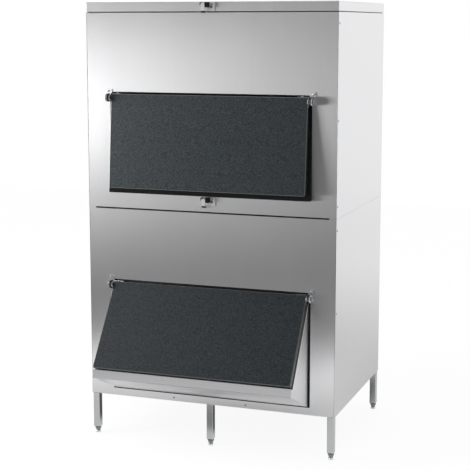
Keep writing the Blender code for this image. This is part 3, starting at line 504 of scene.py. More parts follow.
def refine(node, radius=FOLD_RADIUS, broken=BROKEN_EDGE, finish=None, clamp=False):
    """A copy of a sheet or fitting with round folds and broken edges, in place of its solid."""
    piece = whole_copy(node, node + "_folded")
    round_off(piece, fold, radius, FOLD_STEPS, clamp)
    round_off(piece, outward, broken, EDGE_STEPS, clamp)
    even_shading(piece)
    stand_in(piece, node, finish)
    return piece


PLAIN_SHEETS = ["lid_cover", "ice_baffle", "base_panel"]
PANELS = [f"{module}_{side}_panel" for module in MODULES for side in ("front", "left", "right", "back")]
for node in PLAIN_SHEETS + PANELS:
    made = refine(node, FRONT_FOLD_RADIUS if "front" in node else FOLD_RADIUS)
    print(made.name, len(made.data.polygons), "faces")

# %% [markdown]
# The side folds of the fronts and the upright faces of the chute look darker than the sheet round
# them, because they mirror a dark part of the room. A room that puts exactly this reflection there
# would upset the large panels, so on these few faces the dark reflection is painted, as a darker steel
# colour. The chute is brushed across, as its sheet lay the other way when it was cut.

# %% Painted dark reflection on the side folds and the chute's lip
STRAIGHT, ALMOST_STRAIGHT, SLANTED = 0.99, 0.85, 0.10
SIDE_FOLD_START = 0.5240


def on_lip(face):
    return face.normal.y < -ALMOST_STRAIGHT


def on_side_fold(face):
    return abs(face.center.x) > SIDE_FOLD_START and -STRAIGHT < face.normal.y < -SLANTED


dress(refine("chute_shell"), CHUTE_STEEL, (LIP_PAINTED_REFLECTION, on_lip))
for module in MODULES:
    dress(bpy.data.objects[f"{module}_front_panel_folded"], PANEL_STEEL, (FOLD_PAINTED_REFLECTION, on_side_fold))
print("darkened the lip and the side folds")

# %% [markdown]
# ## Fittings and seals
#
# Hinge plates and brackets are small pieces of thick sheet, and the seals are soft strips pressed
# between the sheets. They need the same care at a smaller size: the plates have tighter folds, with
# the radius held back where an edge is short, and the strips have rounder edges than cut steel.

# %% Refine the fittings and the seals
FITTING_FOLD, FITTING_EDGE = 0.0008, 0.0003
SEAL_FOLD, SEAL_EDGE = 0.0010, 0.0005
HINGES = [f"{module}_door_hinge_{side}" for module in MODULES for side in SIDES]
BRACKETS = [f"{module}_door_bracket_{side}" for module in MODULES for side in SIDES]
SEALS = ["upper_door_frame", "module_seal", "lid_seal", "chute_seal"]
for node in HINGES + ["drain_fitting"]:
    refine(node, FITTING_FOLD, FITTING_EDGE, clamp=True)
for node in BRACKETS:
    refine(node, FITTING_FOLD, FITTING_EDGE, PANEL_STEEL)
for node in SEALS:
    refine(node, SEAL_FOLD, SEAL_EDGE)
print("refined", len(HINGES + BRACKETS + SEALS) + 1, "fittings and seals")

# %% [markdown]
# ## Blanks
#
# A piece that shows more than its solid does starts again from a blank: a box, a frame or a turned bar
# at its real size and place. Faces are then inset, pushed and rounded, as a toolmaker would cut a
# mould. A box is enough for a moulding, and a filled circle that is raised ring by ring for a turning.

# %% Boxes, frames and bars
def settle(name):
    """Names the newest object and moves its place, turn and size into its mesh."""
    piece = bpy.context.object
    piece.name = name
    bpy.ops.object.transform_apply(location=True, rotation=True, scale=True)
    return piece


def box_blank(name, low, high):
    low, high = Vector(low), Vector(high)
    bpy.ops.object.select_all(action="DESELECT")
    bpy.ops.mesh.primitive_cube_add(size=1, location=(low + high) / 2, scale=high - low)
    return settle(name)


def frame_blank(name, low, high, margin):
    """A flat upright frame: a box with its two large faces inset, and a tunnel bridged between them."""
    border = box_blank(name, low, high)
    edit(border)
    pick("FACE", lambda face: abs(face.normal.y) > STRAIGHT)
    bpy.ops.mesh.inset(thickness=margin)
    bpy.ops.mesh.bridge_edge_loops()
    done()
    return border


def turned(name, profile, sides=48):
    """A turned piece along Z, from (radius, height) steps that run upwards."""
    radius, height = profile[0]
    bpy.ops.object.select_all(action="DESELECT")
    bpy.ops.mesh.primitive_circle_add(vertices=sides, radius=radius, fill_type="NGON",
                                      location=(0, 0, height))
    piece = settle(name)
    edit(piece)
    bpy.ops.mesh.select_all(action="SELECT")
    for wide, high in profile[1:]:
        bpy.ops.mesh.extrude_region_move(TRANSFORM_OT_translate={"value": (0, 0, high - height)})
        bpy.ops.transform.resize(value=(wide / radius, wide / radius, 1), center_override=(0, 0, high))
        radius, height = wide, high
    bpy.ops.mesh.select_all(action="SELECT")
    bpy.ops.mesh.normals_make_consistent(inside=False)
    done()
    return piece


# %% [markdown]
# ## Working a blank
#
# A face or an edge is found by where it lies and which way it points, as one would point at it. Most
# forms on this bin are pressed: a margin is inset and the middle is pushed in or out. Only a screw's
# cross is cut with a Boolean, because it has steep walls inside a round head, where no inset fits.

# %% Ways to work a blank
NEAR = 0.00002
Y, Z = 1, 2


def at_back(face):
    return face.normal.y > STRAIGHT


def at_front(face):
    return face.normal.y < -STRAIGHT


def level(axis, place):
    """A test for edges and faces that lie across an axis at a place."""
    return lambda item: all(abs(vert.co[axis] - place) < NEAR for vert in item.verts)


def runs_along(axis, length):
    """A test for edges that run along an axis for at least a length."""
    return lambda edge: abs((edge.verts[0].co - edge.verts[1].co)[axis]) > length


def press(piece, test, margin, depth):
    """Insets the picked faces and pushes them back by a depth, or forward if it is negative."""
    edit(piece)
    pick("FACE", test)
    bpy.ops.mesh.inset(thickness=margin)
    bpy.ops.mesh.extrude_region_move(TRANSFORM_OT_translate={"value": (0, depth, 0)})
    done()


def join(piece, *others):
    """Makes other solids part of a piece, as shells of their own."""
    only(piece)
    for other in others:
        other.select_set(True)
    bpy.ops.object.join()
    return piece


def carve(piece, cutter):
    """Cuts another solid out of a piece, and removes it."""
    step = piece.modifiers.new("carve", "BOOLEAN")
    step.operation = "DIFFERENCE"
    step.solver = "EXACT"
    step.object = cutter
    apply_all(piece)
    bpy.data.objects.remove(cutter, do_unlink=True)


def cross_recess(piece, top, reach, slot_width, depth):
    """The cross that a screwdriver fits, in the top of a piece that stands along Z."""
    for half_x, half_y in ((reach, slot_width / 2), (slot_width / 2, reach)):
        carve(piece, box_blank("cross_cutter", (-half_x, -half_y, top - depth),
                               (half_x, half_y, top + depth)))
    return piece


# %% [markdown]
# ## Copies
#
# What repeats is modelled once, as a master at the origin. Each copy has a mesh of its own, because a
# copy on a door has to turn with that door. Its place goes into the mesh through a matrix, so that
# the object itself stays at the origin, as the solids do.

# %% Copies and their places
def shift(x, y, z):
    return Matrix.Translation((x, y, z))


def turn(axis, angle):
    return Matrix.Rotation(radians(angle), 4, axis)


def fit(master, name, place, body, slot, *nodes):
    """Sets a copy of a master in its place, on its body, where it stands for the solids named."""
    piece = bpy.data.objects.new(name, master.data.copy())
    bpy.context.scene.collection.objects.link(piece)
    piece.data.transform(place)
    even_shading(piece)
    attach(piece, body)
    if nodes:
        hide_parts(*nodes)


# %% [markdown]
# ## The doors
#
# A door is a plastic shell with a sunk, grained field inside a smooth rounded rim, a white inner panel
# in its back and a soft gasket round that. Both doors are the same moulding, so every piece is
# modelled once, upright round its hinge axis, and the two copies are tilted and moved to their places.

# %% The door's sizes and places
DOOR_HALF = 0.416
DOOR_FACE, DOOR_BACK = 0.002, 0.026
DOOR_TOP, DOOR_FOOT = 0.016, -0.366
DOOR_CORNER, RIM = 0.008, 0.003
PIVOT_Y = -0.281694
PIVOT_Z = {"upper": 1.429, "lower": 0.657}
TILT = {"upper": 5, "lower": 35}


def on_door(module):
    """The matrix from the door's own axis to its closed place."""
    return shift(0, PIVOT_Y, PIVOT_Z[module]) @ turn("X", -TILT[module])


print("a door is", 2 * DOOR_HALF, "by", round(DOOR_TOP - DOOR_FOOT, 3), "metres")

# %% [markdown]
# The shell is moulded in one go: a box, a shallow hollow in its back for the inner panel, round
# corners, and a rim that turns over to the front. Last comes the field, sunk by less than half a
# millimetre. The field has its own grained plastic, and the rim a smoother one that is painted lighter:
# the line of light all round is a painted highlight.

# %% Door shell
HOLLOW_MARGIN, HOLLOW_DEPTH = 0.028, 0.006
FIELD_MARGIN, FIELD_DEPTH = 0.0015, 0.0004
BACK_EDGE = 0.0008


def door_shell():
    moulding = box_blank("door_shell", (-DOOR_HALF, DOOR_FACE, DOOR_FOOT),
                         (DOOR_HALF, DOOR_BACK, DOOR_TOP))
    press(moulding, at_back, HOLLOW_MARGIN, -HOLLOW_DEPTH)
    round_off(moulding, runs_along(Y, 0.02), DOOR_CORNER, 6)
    round_off(moulding, level(Y, DOOR_FACE), RIM, 4)
    press(moulding, at_front, FIELD_MARGIN, FIELD_DEPTH)
    round_off(moulding, lambda edge: level(Y, DOOR_BACK)(edge) and corner(edge), BACK_EDGE, 2)
    return moulding


def on_field(face):
    return at_front(face) and face.center.y > DOOR_FACE + NEAR


def on_rim(face):
    return -STRAIGHT < face.normal.y < -SLANTED and face.center.y < DOOR_FACE + RIM


shell = door_shell()
# The rim's lighter tone is a painted highlight.
dress(shell, DOOR_EDGE, (DOOR_PLASTIC, on_field), (DOOR_RIM_HIGHLIGHT, on_rim))
for module in MODULES:
    fit(shell, f"{module}_door_moulding", on_door(module), f"{module}_door", "door_plastic",
        f"{module}_door_shell")
print("door shell with", len(shell.data.polygons), "faces")

# %% [markdown]
# The inner panel is thin white sheet, drawn over a mould: a rim, a groove and a raised middle make it
# stiff. The gasket is a frame with a channel down its middle, so that it touches with two soft lips.

# %% Inner panel and gasket
LINING_LOW, LINING_HIGH = (-0.3877, 0.0203, -0.3377), (0.3877, DOOR_BACK, -0.0123)
LINING_RIM, GROOVE_DEPTH = 0.014, 0.0035
GROOVE_WIDTH, MIDDLE_RISE = 0.016, 0.0025
LINING_CORNER, LINING_EDGE = 0.010, 0.0010
MIDDLE_AREA = 0.1
GASKET_LOW, GASKET_HIGH, GASKET_WIDTH = (-0.411, 0.0263, -0.361), (0.411, 0.0313, -0.002), 0.012
LIP_WIDTH, LIP_HEIGHT, LIP_EDGE = 0.0035, 0.0022, 0.0008


def door_inner_panel():
    panel = box_blank("inner_panel", LINING_LOW, LINING_HIGH)
    press(panel, at_back, LINING_RIM, -GROOVE_DEPTH)
    press(panel, lambda face: at_back(face) and face.calc_area() > MIDDLE_AREA, GROOVE_WIDTH,
          MIDDLE_RISE)
    round_off(panel, lambda edge: corner(edge) and runs_along(Y, 0.002)(edge), LINING_CORNER, 4)
    round_off(panel, corner, LINING_EDGE, 3)
    return panel


def door_gasket():
    lips = frame_blank("gasket", GASKET_LOW, GASKET_HIGH, GASKET_WIDTH)
    press(lips, at_back, LIP_WIDTH, -LIP_HEIGHT)
    round_off(lips, outward, LIP_EDGE, 3)
    return lips


inner, gasket = door_inner_panel(), door_gasket()
dress(inner, WHITE_PLASTIC)
dress(gasket, RUBBER)
for module in MODULES:
    fit(inner, f"{module}_door_lining", on_door(module), f"{module}_door", "white_plastic",
        f"{module}_door_inner_panel")
    fit(gasket, f"{module}_lip_gasket", on_door(module), f"{module}_door", "black_rubber",
        f"{module}_door_gasket")
print("inner panel", len(inner.data.polygons), "faces, gasket", len(gasket.data.polygons), "faces")

# %% [markdown]
# ## Hinges
#
# A hinge is a plate over the door's top corner, a bracket on the front and a pin with a wide round cap.
# The cap is the jewel of the front: a polished button with a groove round its foot, a rounded rim, a
# sunk face and a cross. A lathe makes it from one profile, and so does `turned`. Only its face and the
# top of its rim are bright chrome: its side and its cross have a painted shade in a dark steel colour,
# and its base a near-black painted shade, as little light gets in between cap and bracket.

# %% Caps on their pins
CAP_RADIUS, CAP_HEIGHT, CAP_START = 0.017, 0.014, 0.4219
CAP_ROUND, CAP_GROOVE, CAP_BASE = 0.004, 0.0008, 0.0046
FACE_MARGIN, FACE_SUNK, FACE_BAND = 0.0062, 0.0010, 0.0016
PIN_RADIUS, PIN_LENGTH, PIN_CHAMFER = 0.004, 0.0056, 0.0005
CROSS_REACH, CROSS_WIDTH, CROSS_DEPTH = 0.009, 0.003, 0.0025


def rounded_rim(radius, height, bend, steps):
    """The steps of a profile that bends from the side of a turning to its face."""
    return [(radius - bend * (1 - cos(angle)), height - bend * (1 - sin(angle)))
            for angle in (radians(90 * step / steps) for step in range(steps + 1))]


def cap_and_pin():
    """The pin points down and the cap's face up. The cap starts at zero height, with a groove above."""
    profile = [(PIN_RADIUS - PIN_CHAMFER, -PIN_LENGTH), (PIN_RADIUS, PIN_CHAMFER - PIN_LENGTH),
               (PIN_RADIUS, 0), (CAP_RADIUS - 0.001, 0), (CAP_RADIUS, 0.001), (CAP_RADIUS, 0.003),
               (CAP_RADIUS - CAP_GROOVE, 0.0036), (CAP_RADIUS - CAP_GROOVE, 0.0044), (CAP_RADIUS, 0.005)]
    profile += rounded_rim(CAP_RADIUS, CAP_HEIGHT, CAP_ROUND, 6)
    profile += [(CAP_RADIUS - FACE_MARGIN + FACE_SUNK, CAP_HEIGHT - 0.8 * FACE_SUNK),
                (CAP_RADIUS - FACE_MARGIN, CAP_HEIGHT - FACE_SUNK)]
    return cross_recess(turned("cap_and_pin", profile), CAP_HEIGHT - FACE_SUNK, CROSS_REACH,
                        CROSS_WIDTH, CROSS_DEPTH)


def on_cap_face(face):
    return face.center.z > CAP_HEIGHT - FACE_BAND


def on_cap_base(face):
    return face.center.z < CAP_BASE


cap = cap_and_pin()
# Chrome on the face and rim top, painted shade on the side and the cross, and a darker painted shade on
# the base.
dress(cap, DARK_STEEL_AND_SHADE, (CHROME, on_cap_face), (NEAR_BLACK_SHADE, on_cap_base))
for side, sign in SIDES.items():
    stands_out = shift(sign * CAP_START, 0, 0) @ turn("Y", 90 * sign)
    for module in MODULES:
        fit(cap, f"{module}_{side}_hinge_cap", on_door(module) @ stands_out, f"{module}_door",
            "polished_steel", f"{module}_door_pin_{side}")
print("cap", len(cap.data.polygons), "faces")

# %% [markdown]
# ## Screws and rivets
#
# Pan-head screws hold the brackets, hinges and catches, small black ones hold the strip of the upper
# door's frame, and a row of rivets runs along the front edge of each side. Their heads are only a few
# pixels wide, so a turned profile with few sides is enough. On the solids they are one with the sheet
# that they hold, so these copies add to it and replace nothing.

# %% Screws and rivets
RIM_SHARE, CHAMFER_SHARE = 0.75, 0.04
CROSS_SHARE, SLOT_SHARE, RECESS_SHARE = 0.55, 0.22, 0.45
RIVET_PROFILE = [(0.0040, 0), (0.0040, 0.0003), (0.0036, 0.0010), (0.0026, 0.0016), (0.0012, 0.0019)]


def pan_screw(name, radius, height):
    """A screw head with a rounded rim and a cross, standing on zero height."""
    profile = [(radius * (1 - CHAMFER_SHARE), 0), (radius, height * 2 * CHAMFER_SHARE)]
    profile += rounded_rim(radius, height, height * RIM_SHARE, 5)
    return cross_recess(turned(name, profile, 32), height, radius * CROSS_SHARE, radius * SLOT_SHARE,
                        height * RECESS_SHARE)


small_screw = pan_screw("small_screw", 0.0043, 0.0024)
strip_screw = pan_screw("strip_screw", 0.0032, 0.0018)
side_rivet = turned("rivet", RIVET_PROFILE, 24)
dress(small_screw, POLISH)
dress(strip_screw, BLACK_PLASTIC)
dress(side_rivet, DARK_STEEL_AND_SHADE)
print("screw", len(small_screw.data.polygons), "faces, rivet", len(side_rivet.data.polygons), "faces")

# %% Set the screws and rivets
FRONT_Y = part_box("upper_front_panel")[0].y
SHIM = 0.0003
WALL_Y = FRONT_Y - SHIM
FORWARD = turn("X", 90)
BRACKET_SCREW_X, BRACKET_SCREW_RISE, BRACKET_SHEET = 0.43527, 0.026, 0.002
HINGE_SCREW_X, HINGE_SCREW_Y, HINGE_SCREW_Z = 0.3903, 0.013, 0.0183
STRIP_SCREW_X, STRIP_SCREW_Z = 0.157, 0.192
RIVET_X, RIVET_SETBACK = 0.53, 0.012
RIVET_Z = (0.598, 0.927, 1.021, 1.355, 1.726)

for side, sign in SIDES.items():
    for module in MODULES:
        screwed = shift(sign * BRACKET_SCREW_X, WALL_Y - BRACKET_SHEET,
                        PIVOT_Z[module] + BRACKET_SCREW_RISE) @ FORWARD
        fit(small_screw, f"{module}_{side}_bracket_screw", screwed, "bin", "polished_steel")
        screwed = on_door(module) @ shift(sign * HINGE_SCREW_X, HINGE_SCREW_Y, HINGE_SCREW_Z)
        fit(small_screw, f"{module}_{side}_hinge_screw", screwed, f"{module}_door", "polished_steel")
    screwed = shift(sign * STRIP_SCREW_X, FRONT_Y, STRIP_SCREW_Z) @ FORWARD
    fit(strip_screw, f"{side}_strip_screw", screwed, "bin", "black_plastic")
    sideways = turn("Y", 90 * sign)
    for place, z in enumerate(RIVET_Z):
        riveted = shift(sign * RIVET_X, FRONT_Y + RIVET_SETBACK, z) @ sideways
        fit(side_rivet, f"{side}_rivet_{place}", riveted, "bin", "polished_steel")
print("set", len(RIVET_Z) * len(SIDES), "rivets and 10 screws")

# %% [markdown]
# ## Catches
#
# A raised door is held by a catch above it: a steel plate with a rubber block that the door leans on,
# and a hook that drops over the door's edge. The hook is a bent strip. A strip is drawn as a plane, its
# lower edge is spun to make the bend, and Solidify gives it the thickness of the sheet. Its bend and
# its right edge turn away from the light, and a near-black painted shade keeps them apart from the
# bright front.

# %% Catch plate and block
PLATE_LOW, PLATE_HIGH = (-0.0285, -0.0025, -0.0275), (0.0285, 0, 0.0075)
PLATE_FACE, PLATE_CORNER, PLATE_EDGE = -0.0025, 0.003, 0.0006
BLOCK_LOW, BLOCK_HIGH = (-0.0075, -0.0212, -0.0125), (0.0075, PLATE_FACE, 0.0075)
BLOCK_EDGE, BLOCK_MARGIN, BLOCK_DISH = 0.0015, 0.0025, 0.0010
EAR_LOW, EAR_HIGH, EAR_EDGE = (-0.0285, -0.0190, -0.0038), (-0.0255, PLATE_FACE, 0.0075), 0.0006


def catch_plate():
    flat = box_blank("catch_plate", PLATE_LOW, PLATE_HIGH)
    round_off(flat, runs_along(Y, 0.002), PLATE_CORNER, 5)
    round_off(flat, level(Y, PLATE_FACE), PLATE_EDGE, 2)
    return flat


def catch_block():
    """The block and, beside it, the ear that carries the hook's pin."""
    buffer = box_blank("catch_block", BLOCK_LOW, BLOCK_HIGH)
    ear = box_blank("catch_ear", EAR_LOW, EAR_HIGH)
    round_off(buffer, corner, BLOCK_EDGE, 4)
    press(buffer, at_front, BLOCK_MARGIN, BLOCK_DISH)
    round_off(ear, corner, EAR_EDGE, 2)
    return join(buffer, ear)


plate, block = catch_plate(), catch_block()
large_screw = pan_screw("large_screw", 0.0056, 0.0044)
dress(plate, HOOK_ZINC)
dress(block, RUBBER)
dress(large_screw, DARK_STEEL_AND_SHADE)
print("catch plate", len(plate.data.polygons), "faces, block and ear", len(block.data.polygons), "faces")

# %% Catch hook
HOOK_LEFT, HOOK_RIGHT, HOOK_OUT = -0.0245, -0.0085, -0.0152
HOOK_DROP, HOOK_SHEET, HOOK_EDGE = 0.0260, 0.002, 0.0004
BEND_RADIUS, BEND_ANGLE = 0.007, -115
DARK_DROP, DARK_WIDTH = 0.0262, 0.0012
EYE_PROFILE = [(0.0034, 0), (0.0038, 0.0004), (0.0038, 0.0156), (0.0034, 0.0160)]
HOOK_PIN_PROFILE = [(0.0018, -0.0038), (0.0018, 0.0190)]


def catch_hook():
    bpy.ops.object.select_all(action="DESELECT")
    bpy.ops.mesh.primitive_plane_add(size=1, rotation=(radians(90), 0, 0),
                                     location=((HOOK_LEFT + HOOK_RIGHT) / 2, HOOK_OUT, -HOOK_DROP / 2))
    bpy.context.object.scale = (HOOK_RIGHT - HOOK_LEFT, HOOK_DROP, 1)
    strip = settle("catch_hook")
    edit(strip)
    pick("EDGE", level(Z, -HOOK_DROP))
    bpy.ops.mesh.spin(steps=10, angle=radians(BEND_ANGLE), axis=(1, 0, 0),
                      center=(0, HOOK_OUT + BEND_RADIUS, -HOOK_DROP))
    bpy.ops.mesh.select_all(action="SELECT")
    bpy.ops.mesh.remove_doubles(threshold=SAME_PLACE)
    bpy.ops.mesh.normals_make_consistent(inside=False)
    done()
    thick = strip.modifiers.new("strip", "SOLIDIFY")
    thick.thickness = HOOK_SHEET
    thick.offset = 0
    apply_all(strip)
    round_off(strip, corner, HOOK_EDGE, 2)
    eye, pin = turned("hook_eye", EYE_PROFILE, 32), turned("hook_pin", HOOK_PIN_PROFILE, 24)
    for bar in (eye, pin):
        bar.data.transform(shift(HOOK_LEFT, HOOK_OUT, 0) @ turn("Y", 90))
    return join(strip, eye, pin)


def on_bend(face):
    return face.center.z < -DARK_DROP or face.center.x > HOOK_RIGHT - DARK_WIDTH


hook = catch_hook()
# The hook's bend and right edge get a painted shade.
dress(hook, HOOK_ZINC, (NEAR_BLACK_SHADE, on_bend))
print("hook with", len(hook.data.polygons), "faces")

# %% Set the catches
CATCH_Z = {"upper": 1.801, "lower": 1.029}
LARGE_SCREW_X, LARGE_SCREW_Z = 0.0140, -0.0105
SMALL_SCREW_X = 0.0185

for module, z in CATCH_Z.items():
    wall = shift(0, WALL_Y, z)
    fit(plate, f"{module}_catch_plate", wall, "bin", "polished_steel", f"{module}_catch_base")
    fit(block, f"{module}_catch_block", wall, "bin", "black_plastic")
    screwed = wall @ shift(LARGE_SCREW_X, PLATE_FACE, LARGE_SCREW_Z) @ FORWARD
    fit(large_screw, f"{module}_catch_screw", screwed, "bin", "polished_steel")
    screwed = wall @ shift(SMALL_SCREW_X, PLATE_FACE, 0) @ FORWARD
    fit(small_screw, f"{module}_catch_small_screw", screwed, "bin", "polished_steel")
    fit(hook, f"{module}_hook", wall, f"{module}_hook", "polished_steel", f"{module}_catch_hook")
print("set", len(CATCH_Z), "catches")

# %% [markdown]
# ## Legs and feet
#
# The legs are square tube, whose corners are drawn round. Each foot is turned: a collar that tapers to
# a ball-like base, on a threaded stem that only shows when the foot is screwed out. A real thread is a
# helix, but rings of the same pitch look the same at this size and close up without a seam.

# %% Turned feet
FOOT_TOP, STEM_TOP, PITCH = 0.026, 0.068, 0.0015
STEM_RADIUS, THREAD_ROOT = 0.0050, 0.0043
LEG_CORNER, LEG_EDGE = 0.0030, 0.0005
BASE_TOP = 0.0098
BASE_PROFILE = [(0.0080, 0), (0.0097, 0.0006), (0.0104, 0.0018), (0.0105, 0.0032), (0.0105, 0.0074),
                (0.0101, 0.0086), (0.0090, 0.0094)]
COLLAR_PROFILE = [(0.0084, 0.0102), (0.0084, 0.0110), (0.0089, 0.0118), (0.0133, 0.0232),
                  (0.0135, 0.0242), (0.0132, 0.0254), (0.0122, FOOT_TOP)]


def levelling_foot():
    profile = BASE_PROFILE + COLLAR_PROFILE + [(STEM_RADIUS, FOOT_TOP)]
    z = FOOT_TOP
    while z + PITCH < STEM_TOP:
        profile += [(THREAD_ROOT, z + PITCH / 2), (STEM_RADIUS, z + PITCH)]
        z += PITCH
    return turned("levelling_foot", profile, 40)


def on_collar(face):
    return face.center.z > BASE_TOP


foot = levelling_foot()
dress(foot, CHROME, (DARK_STEEL_AND_SHADE, on_collar))
for row in ("front", "rear"):
    for place in ("left", "middle", "right"):
        low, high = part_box(f"{row}_{place}_foot")
        middle = (low + high) / 2
        fit(foot, f"{row}_{place}_turned_foot", shift(middle.x, middle.y, low.z),
            f"{row}_{place}_foot", "foot_steel", f"{row}_{place}_foot")
        refine(f"{row}_{place}_leg", LEG_CORNER, LEG_EDGE, clamp=True)
print("foot with", len(foot.data.polygons), "faces")

# %% [markdown]
# ## Inside
#
# The liners are moulded, so the corners of the room are rounded: ice doesn't stick in them and a cloth
# gets into them. Here the inward edges get the radius, and the rims round the mouths a small one.

# %% Moulded linings
CORNER_RADIUS = {"lower_liner": 0.018, "upper_liner": 0.018, "chute_lining": 0.006}
LONG_EDGE, WIDE_WALL = 0.1, 0.01


def inward(edge):
    return (corner(edge) and not edge.is_convex and edge.calc_length() > LONG_EDGE
            and min(width(face) for face in edge.link_faces) > WIDE_WALL)


def moulded(node, radius):
    """A lining with its long inward corners rounded."""
    lining = whole_copy(node, node + "_moulded")
    round_off(lining, inward, radius, 5)
    round_off(lining, outward, BROKEN_EDGE, EDGE_STEPS)
    even_shading(lining)
    stand_in(lining, node)
    return lining


for node, radius in CORNER_RADIUS.items():
    made = moulded(node, radius)
    print(made.name, len(made.data.polygons), "faces")

# %% [markdown]
# The masters have done their work. They still stand in the middle of the bin, so they are removed
# before anything is rendered.

# %% Remove the masters
MASTERS = (shell, inner, gasket, cap, small_screw, strip_screw, side_rivet, plate, block, hook,
           large_screw, foot)
for master in MASTERS:
    bpy.data.objects.remove(master, do_unlink=True)
print("removed", len(MASTERS), "masters")

# %% [markdown]
# ## The floor
#
# The bin stands on white, with a soft shadow and no horizon. To the camera, the floor is mostly a
# white that glows by itself and a little the lit paint that holds the shadow. Steel shows what lies
# round it, so in a mirror the same floor has other tones: a light pool with a bright ring round the
# bin, dark beyond it in front, light behind, and shade under the bin and before its foot. Light Path
# tells the shader which of the two is asked for.

# %% Floor
FLOOR_SIZE, FLOOR_DROP = 14, 0.0005
FLOOR_PAINT, FLOOR_WHITE = 0.86, 1.12
WHITE, WHITE_SHARE = (1, 1, 1, 1), 0.8
PATHS = ("Is Camera Ray", "Is Glossy Ray", "Is Transmission Ray")

# Soft edges of the mirrored tones, each from its start to its end, in metres from the bin's middle.
POOL_END, RING_START, RING_END = (1.75, 2.05), (1.3, 1.5), (1.75, 1.9)
LEFT_END, LEFT_START = (-4.2, -0.6), (2.5, 7.5)
BACK_START, FAR_BACK = (-0.1, 0.9), (0.8, 4.4)
UNDER_SIDES, UNDER_START, UNDER_END = (0.40, 0.58), (-0.14, -0.02), (0.38, 0.56)
BEFORE_SIDES, BEFORE_START, BEFORE_END = (0.24, 0.40), (-0.90, -0.80), (-0.50, -0.42)
FAR_TONE, POOL_TONE, RING_TONE, LEFT_TONE = 0.17, 0.57, 0.8, 0.55
BACK_TONE, FAR_BACK_TONE = 0.66, 0.42
UNDER_SHADE, BEFORE_SHADE = 0.85, 0.65


def mirrored_floor(paint):
    """The floor's tones as the steel shows them: a pool and a ring in front, a lighter left and back."""
    place = paint.add("TexCoord", output="Object")
    reach = paint.add("VectorMath", {"operation": "LENGTH"}, {0: place}, "Value")
    x, y = paint.add("SeparateXYZ", sockets={0: place}, output=("X", "Y"))
    # Painted light and shade in the glow that only reflections see: a pool and ring of light, a lighter
    # left and back, and painted shadows under the bin and in front of it.
    pool, ring = reach.fade(*POOL_END), reach.band(RING_START, RING_END)
    left = x.fade(*LEFT_END) * reach.step(*LEFT_START)
    front_tone = pool * POOL_TONE + ring * RING_TONE + left * LEFT_TONE + FAR_TONE
    back_tone = reach.step(*FAR_BACK) * FAR_BACK_TONE + BACK_TONE
    under = abs(x).fade(*UNDER_SIDES) * y.band(UNDER_START, UNDER_END)
    before = abs(x).fade(*BEFORE_SIDES) * y.band(BEFORE_START, BEFORE_END)
    tone = front_tone + (back_tone - front_tone) * y.step(*BACK_START)
    return paint.grey(tone * (1.0 - under * UNDER_SHADE - before * BEFORE_SHADE))


def studio_floor():
    bpy.ops.object.select_all(action="DESELECT")
    bpy.ops.mesh.primitive_plane_add(size=FLOOR_SIZE, location=(0, 0, -FLOOR_DROP))
    floor = bpy.context.object
    floor.name = "studio_floor"
    paint = Finish("pale_floor", Roughness=0.8, Base_Color=colour((FLOOR_PAINT,) * 3))
    seen, mirrored, through = paint.add("LightPath", output=PATHS)
    white = paint.add("Emission", sockets={"Color": WHITE, "Strength": FLOOR_WHITE})
    grey = paint.add("Emission", sockets={"Color": mirrored_floor(paint), "Strength": 1.0})
    lit = Wire(paint, paint.shader.outputs[0])
    lifted = paint.add("MixShader", sockets={0: seen.larger(through) * WHITE_SHARE, 1: lit, 2: white})
    shown = paint.add("MixShader", sockets={0: mirrored, 1: lifted, 2: grey})
    paint.feed(paint.tree.nodes["Material Output"].inputs["Surface"], shown)
    floor.data.materials.append(paint.material)


studio_floor()
print("floor of", FLOOR_SIZE, "metres")

# %% [markdown]
# ## The room
#
# The world plays three parts. It is the soft light from all round, it is plain white behind the bin,
# and in the steel it is a room with bright walls at both sides and behind the bin, a darker wall
# behind the camera and a band of light above. Real steel needs such a room, or it looks flat and grey.

# %% World
ROOM_LIGHT = 0.52
SIDE_WALLS, BACK_WALL = (0.70, 0.95), (-0.3, 0.3)
WALL_CORNERS, CORNER_SHADE = (0.75, 0.98), 0.34
WALL_TONE, DARK_WALL_TONE = 1.04, 0.14
WALL_TOP, TOP_SHADE = (0.1, 0.5), 0.3
BAND_START, BAND_END, BAND_TONE = (0.08, 0.25), (0.45, 0.65), 0.5


def mirrored_room(graph):
    """The room's tones by direction: x is to the right, y to the back and z up."""
    ray = graph.add("TexCoord", output="Generated")
    x, y, z = graph.add("SeparateXYZ", sockets={0: ray}, output=("X", "Y", "Z"))
    bright = abs(x).step(*SIDE_WALLS).larger(y.step(*BACK_WALL))
    walls = bright * (WALL_TONE - abs(x).step(*WALL_CORNERS) * CORNER_SHADE) + DARK_WALL_TONE
    above = z.band(BAND_START, BAND_END) * BAND_TONE
    return graph.grey(above.larger(walls * (1.0 - z.step(*WALL_TOP) * TOP_SHADE)))


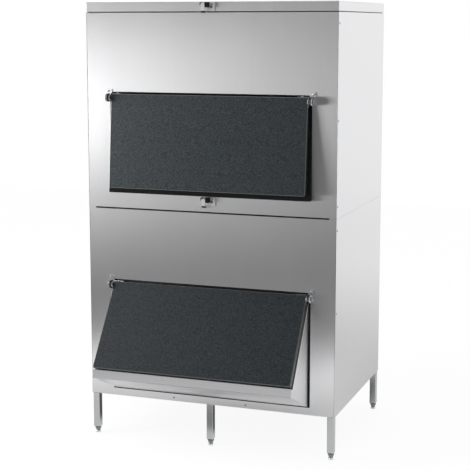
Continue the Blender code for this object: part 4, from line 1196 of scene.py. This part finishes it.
def studio_world():
    world = bpy.data.worlds.new("studio")
    bpy.context.scene.world = world
    graph = Graph(world)
    graph.tree.nodes.clear()
    seen, mirrored, through = graph.add("LightPath", output=PATHS)
    light = graph.add("Background", sockets={"Color": WHITE, "Strength": ROOM_LIGHT})
    room = graph.add("Background", sockets={"Color": mirrored_room(graph), "Strength": 1.0})
    white = graph.add("Background", sockets={"Color": WHITE, "Strength": 1.0})
    reflected = graph.add("MixShader", sockets={0: mirrored, 1: light, 2: room})
    shown = graph.add("MixShader", sockets={0: seen.larger(through), 1: reflected, 2: white})
    graph.add("OutputWorld", sockets={"Surface": shown}, output=())


studio_world()
print("room light at", ROOM_LIGHT)

# %% [markdown]
# ## The lamps
#
# Two softboxes stand to the left of the front, one high and one low and far, and give the front its
# slow fall of tone from left to right. A photographer holds a flag before a lamp where it burns out,
# and puts a snoot on one that should light one thing only. Light linking does both here: the low lamp
# is kept off the two left side panels, and a small lamp gives its sheen to the upper door only.

# %% Lamps
AIM = Vector((0, 0, 1.0))


def softbox(name, azimuth, height, distance, size, power):
    """An area lamp round the front: azimuth is in degrees from straight ahead, to the right."""
    place = Vector((sin(radians(azimuth)) * distance, -cos(radians(azimuth)) * distance, height))
    bpy.ops.object.select_all(action="DESELECT")
    bpy.ops.object.light_add(type="AREA", location=place)
    lamp = bpy.context.object
    lamp.name = name
    lamp.data.shape = "RECTANGLE"
    lamp.data.size, lamp.data.size_y = size
    lamp.data.energy = power
    lamp.rotation_euler = (place - AIM).to_track_quat("Z", "Y").to_euler()
    return lamp


def link_light(lamp, suffix, names):
    """Gives a lamp a collection of pieces that its light treats in a way of its own."""
    chosen = bpy.data.collections.new(lamp.name + suffix)
    for name in names:
        chosen.objects.link(bpy.data.objects[name])
    lamp.light_linking.receiver_collection = chosen
    return chosen


def keep_off(lamp, *names):
    """Keeps a lamp's light off some pieces, as a flag on a stand does."""
    for entry in link_light(lamp, "_flag", names).collection_objects:
        entry.light_linking.link_state = "EXCLUDE"


def only_on(lamp, *names):
    """Lets a lamp light some pieces only."""
    link_light(lamp, "_snoot", names)


softbox("key_softbox", -60, 3.2, 3.4, (1.6, 1.8), 32)
keep_off(softbox("low_softbox", -60, 1.09, 6.0, (1.8, 1.22), 118),
         "lower_left_panel_folded", "upper_left_panel_folded")
only_on(softbox("door_softbox", -70, 1.2, 1.6, (0.5, 1.2), 22), "upper_door_moulding")
bpy.context.scene.view_settings.view_transform = "Standard"
print("three softboxes")
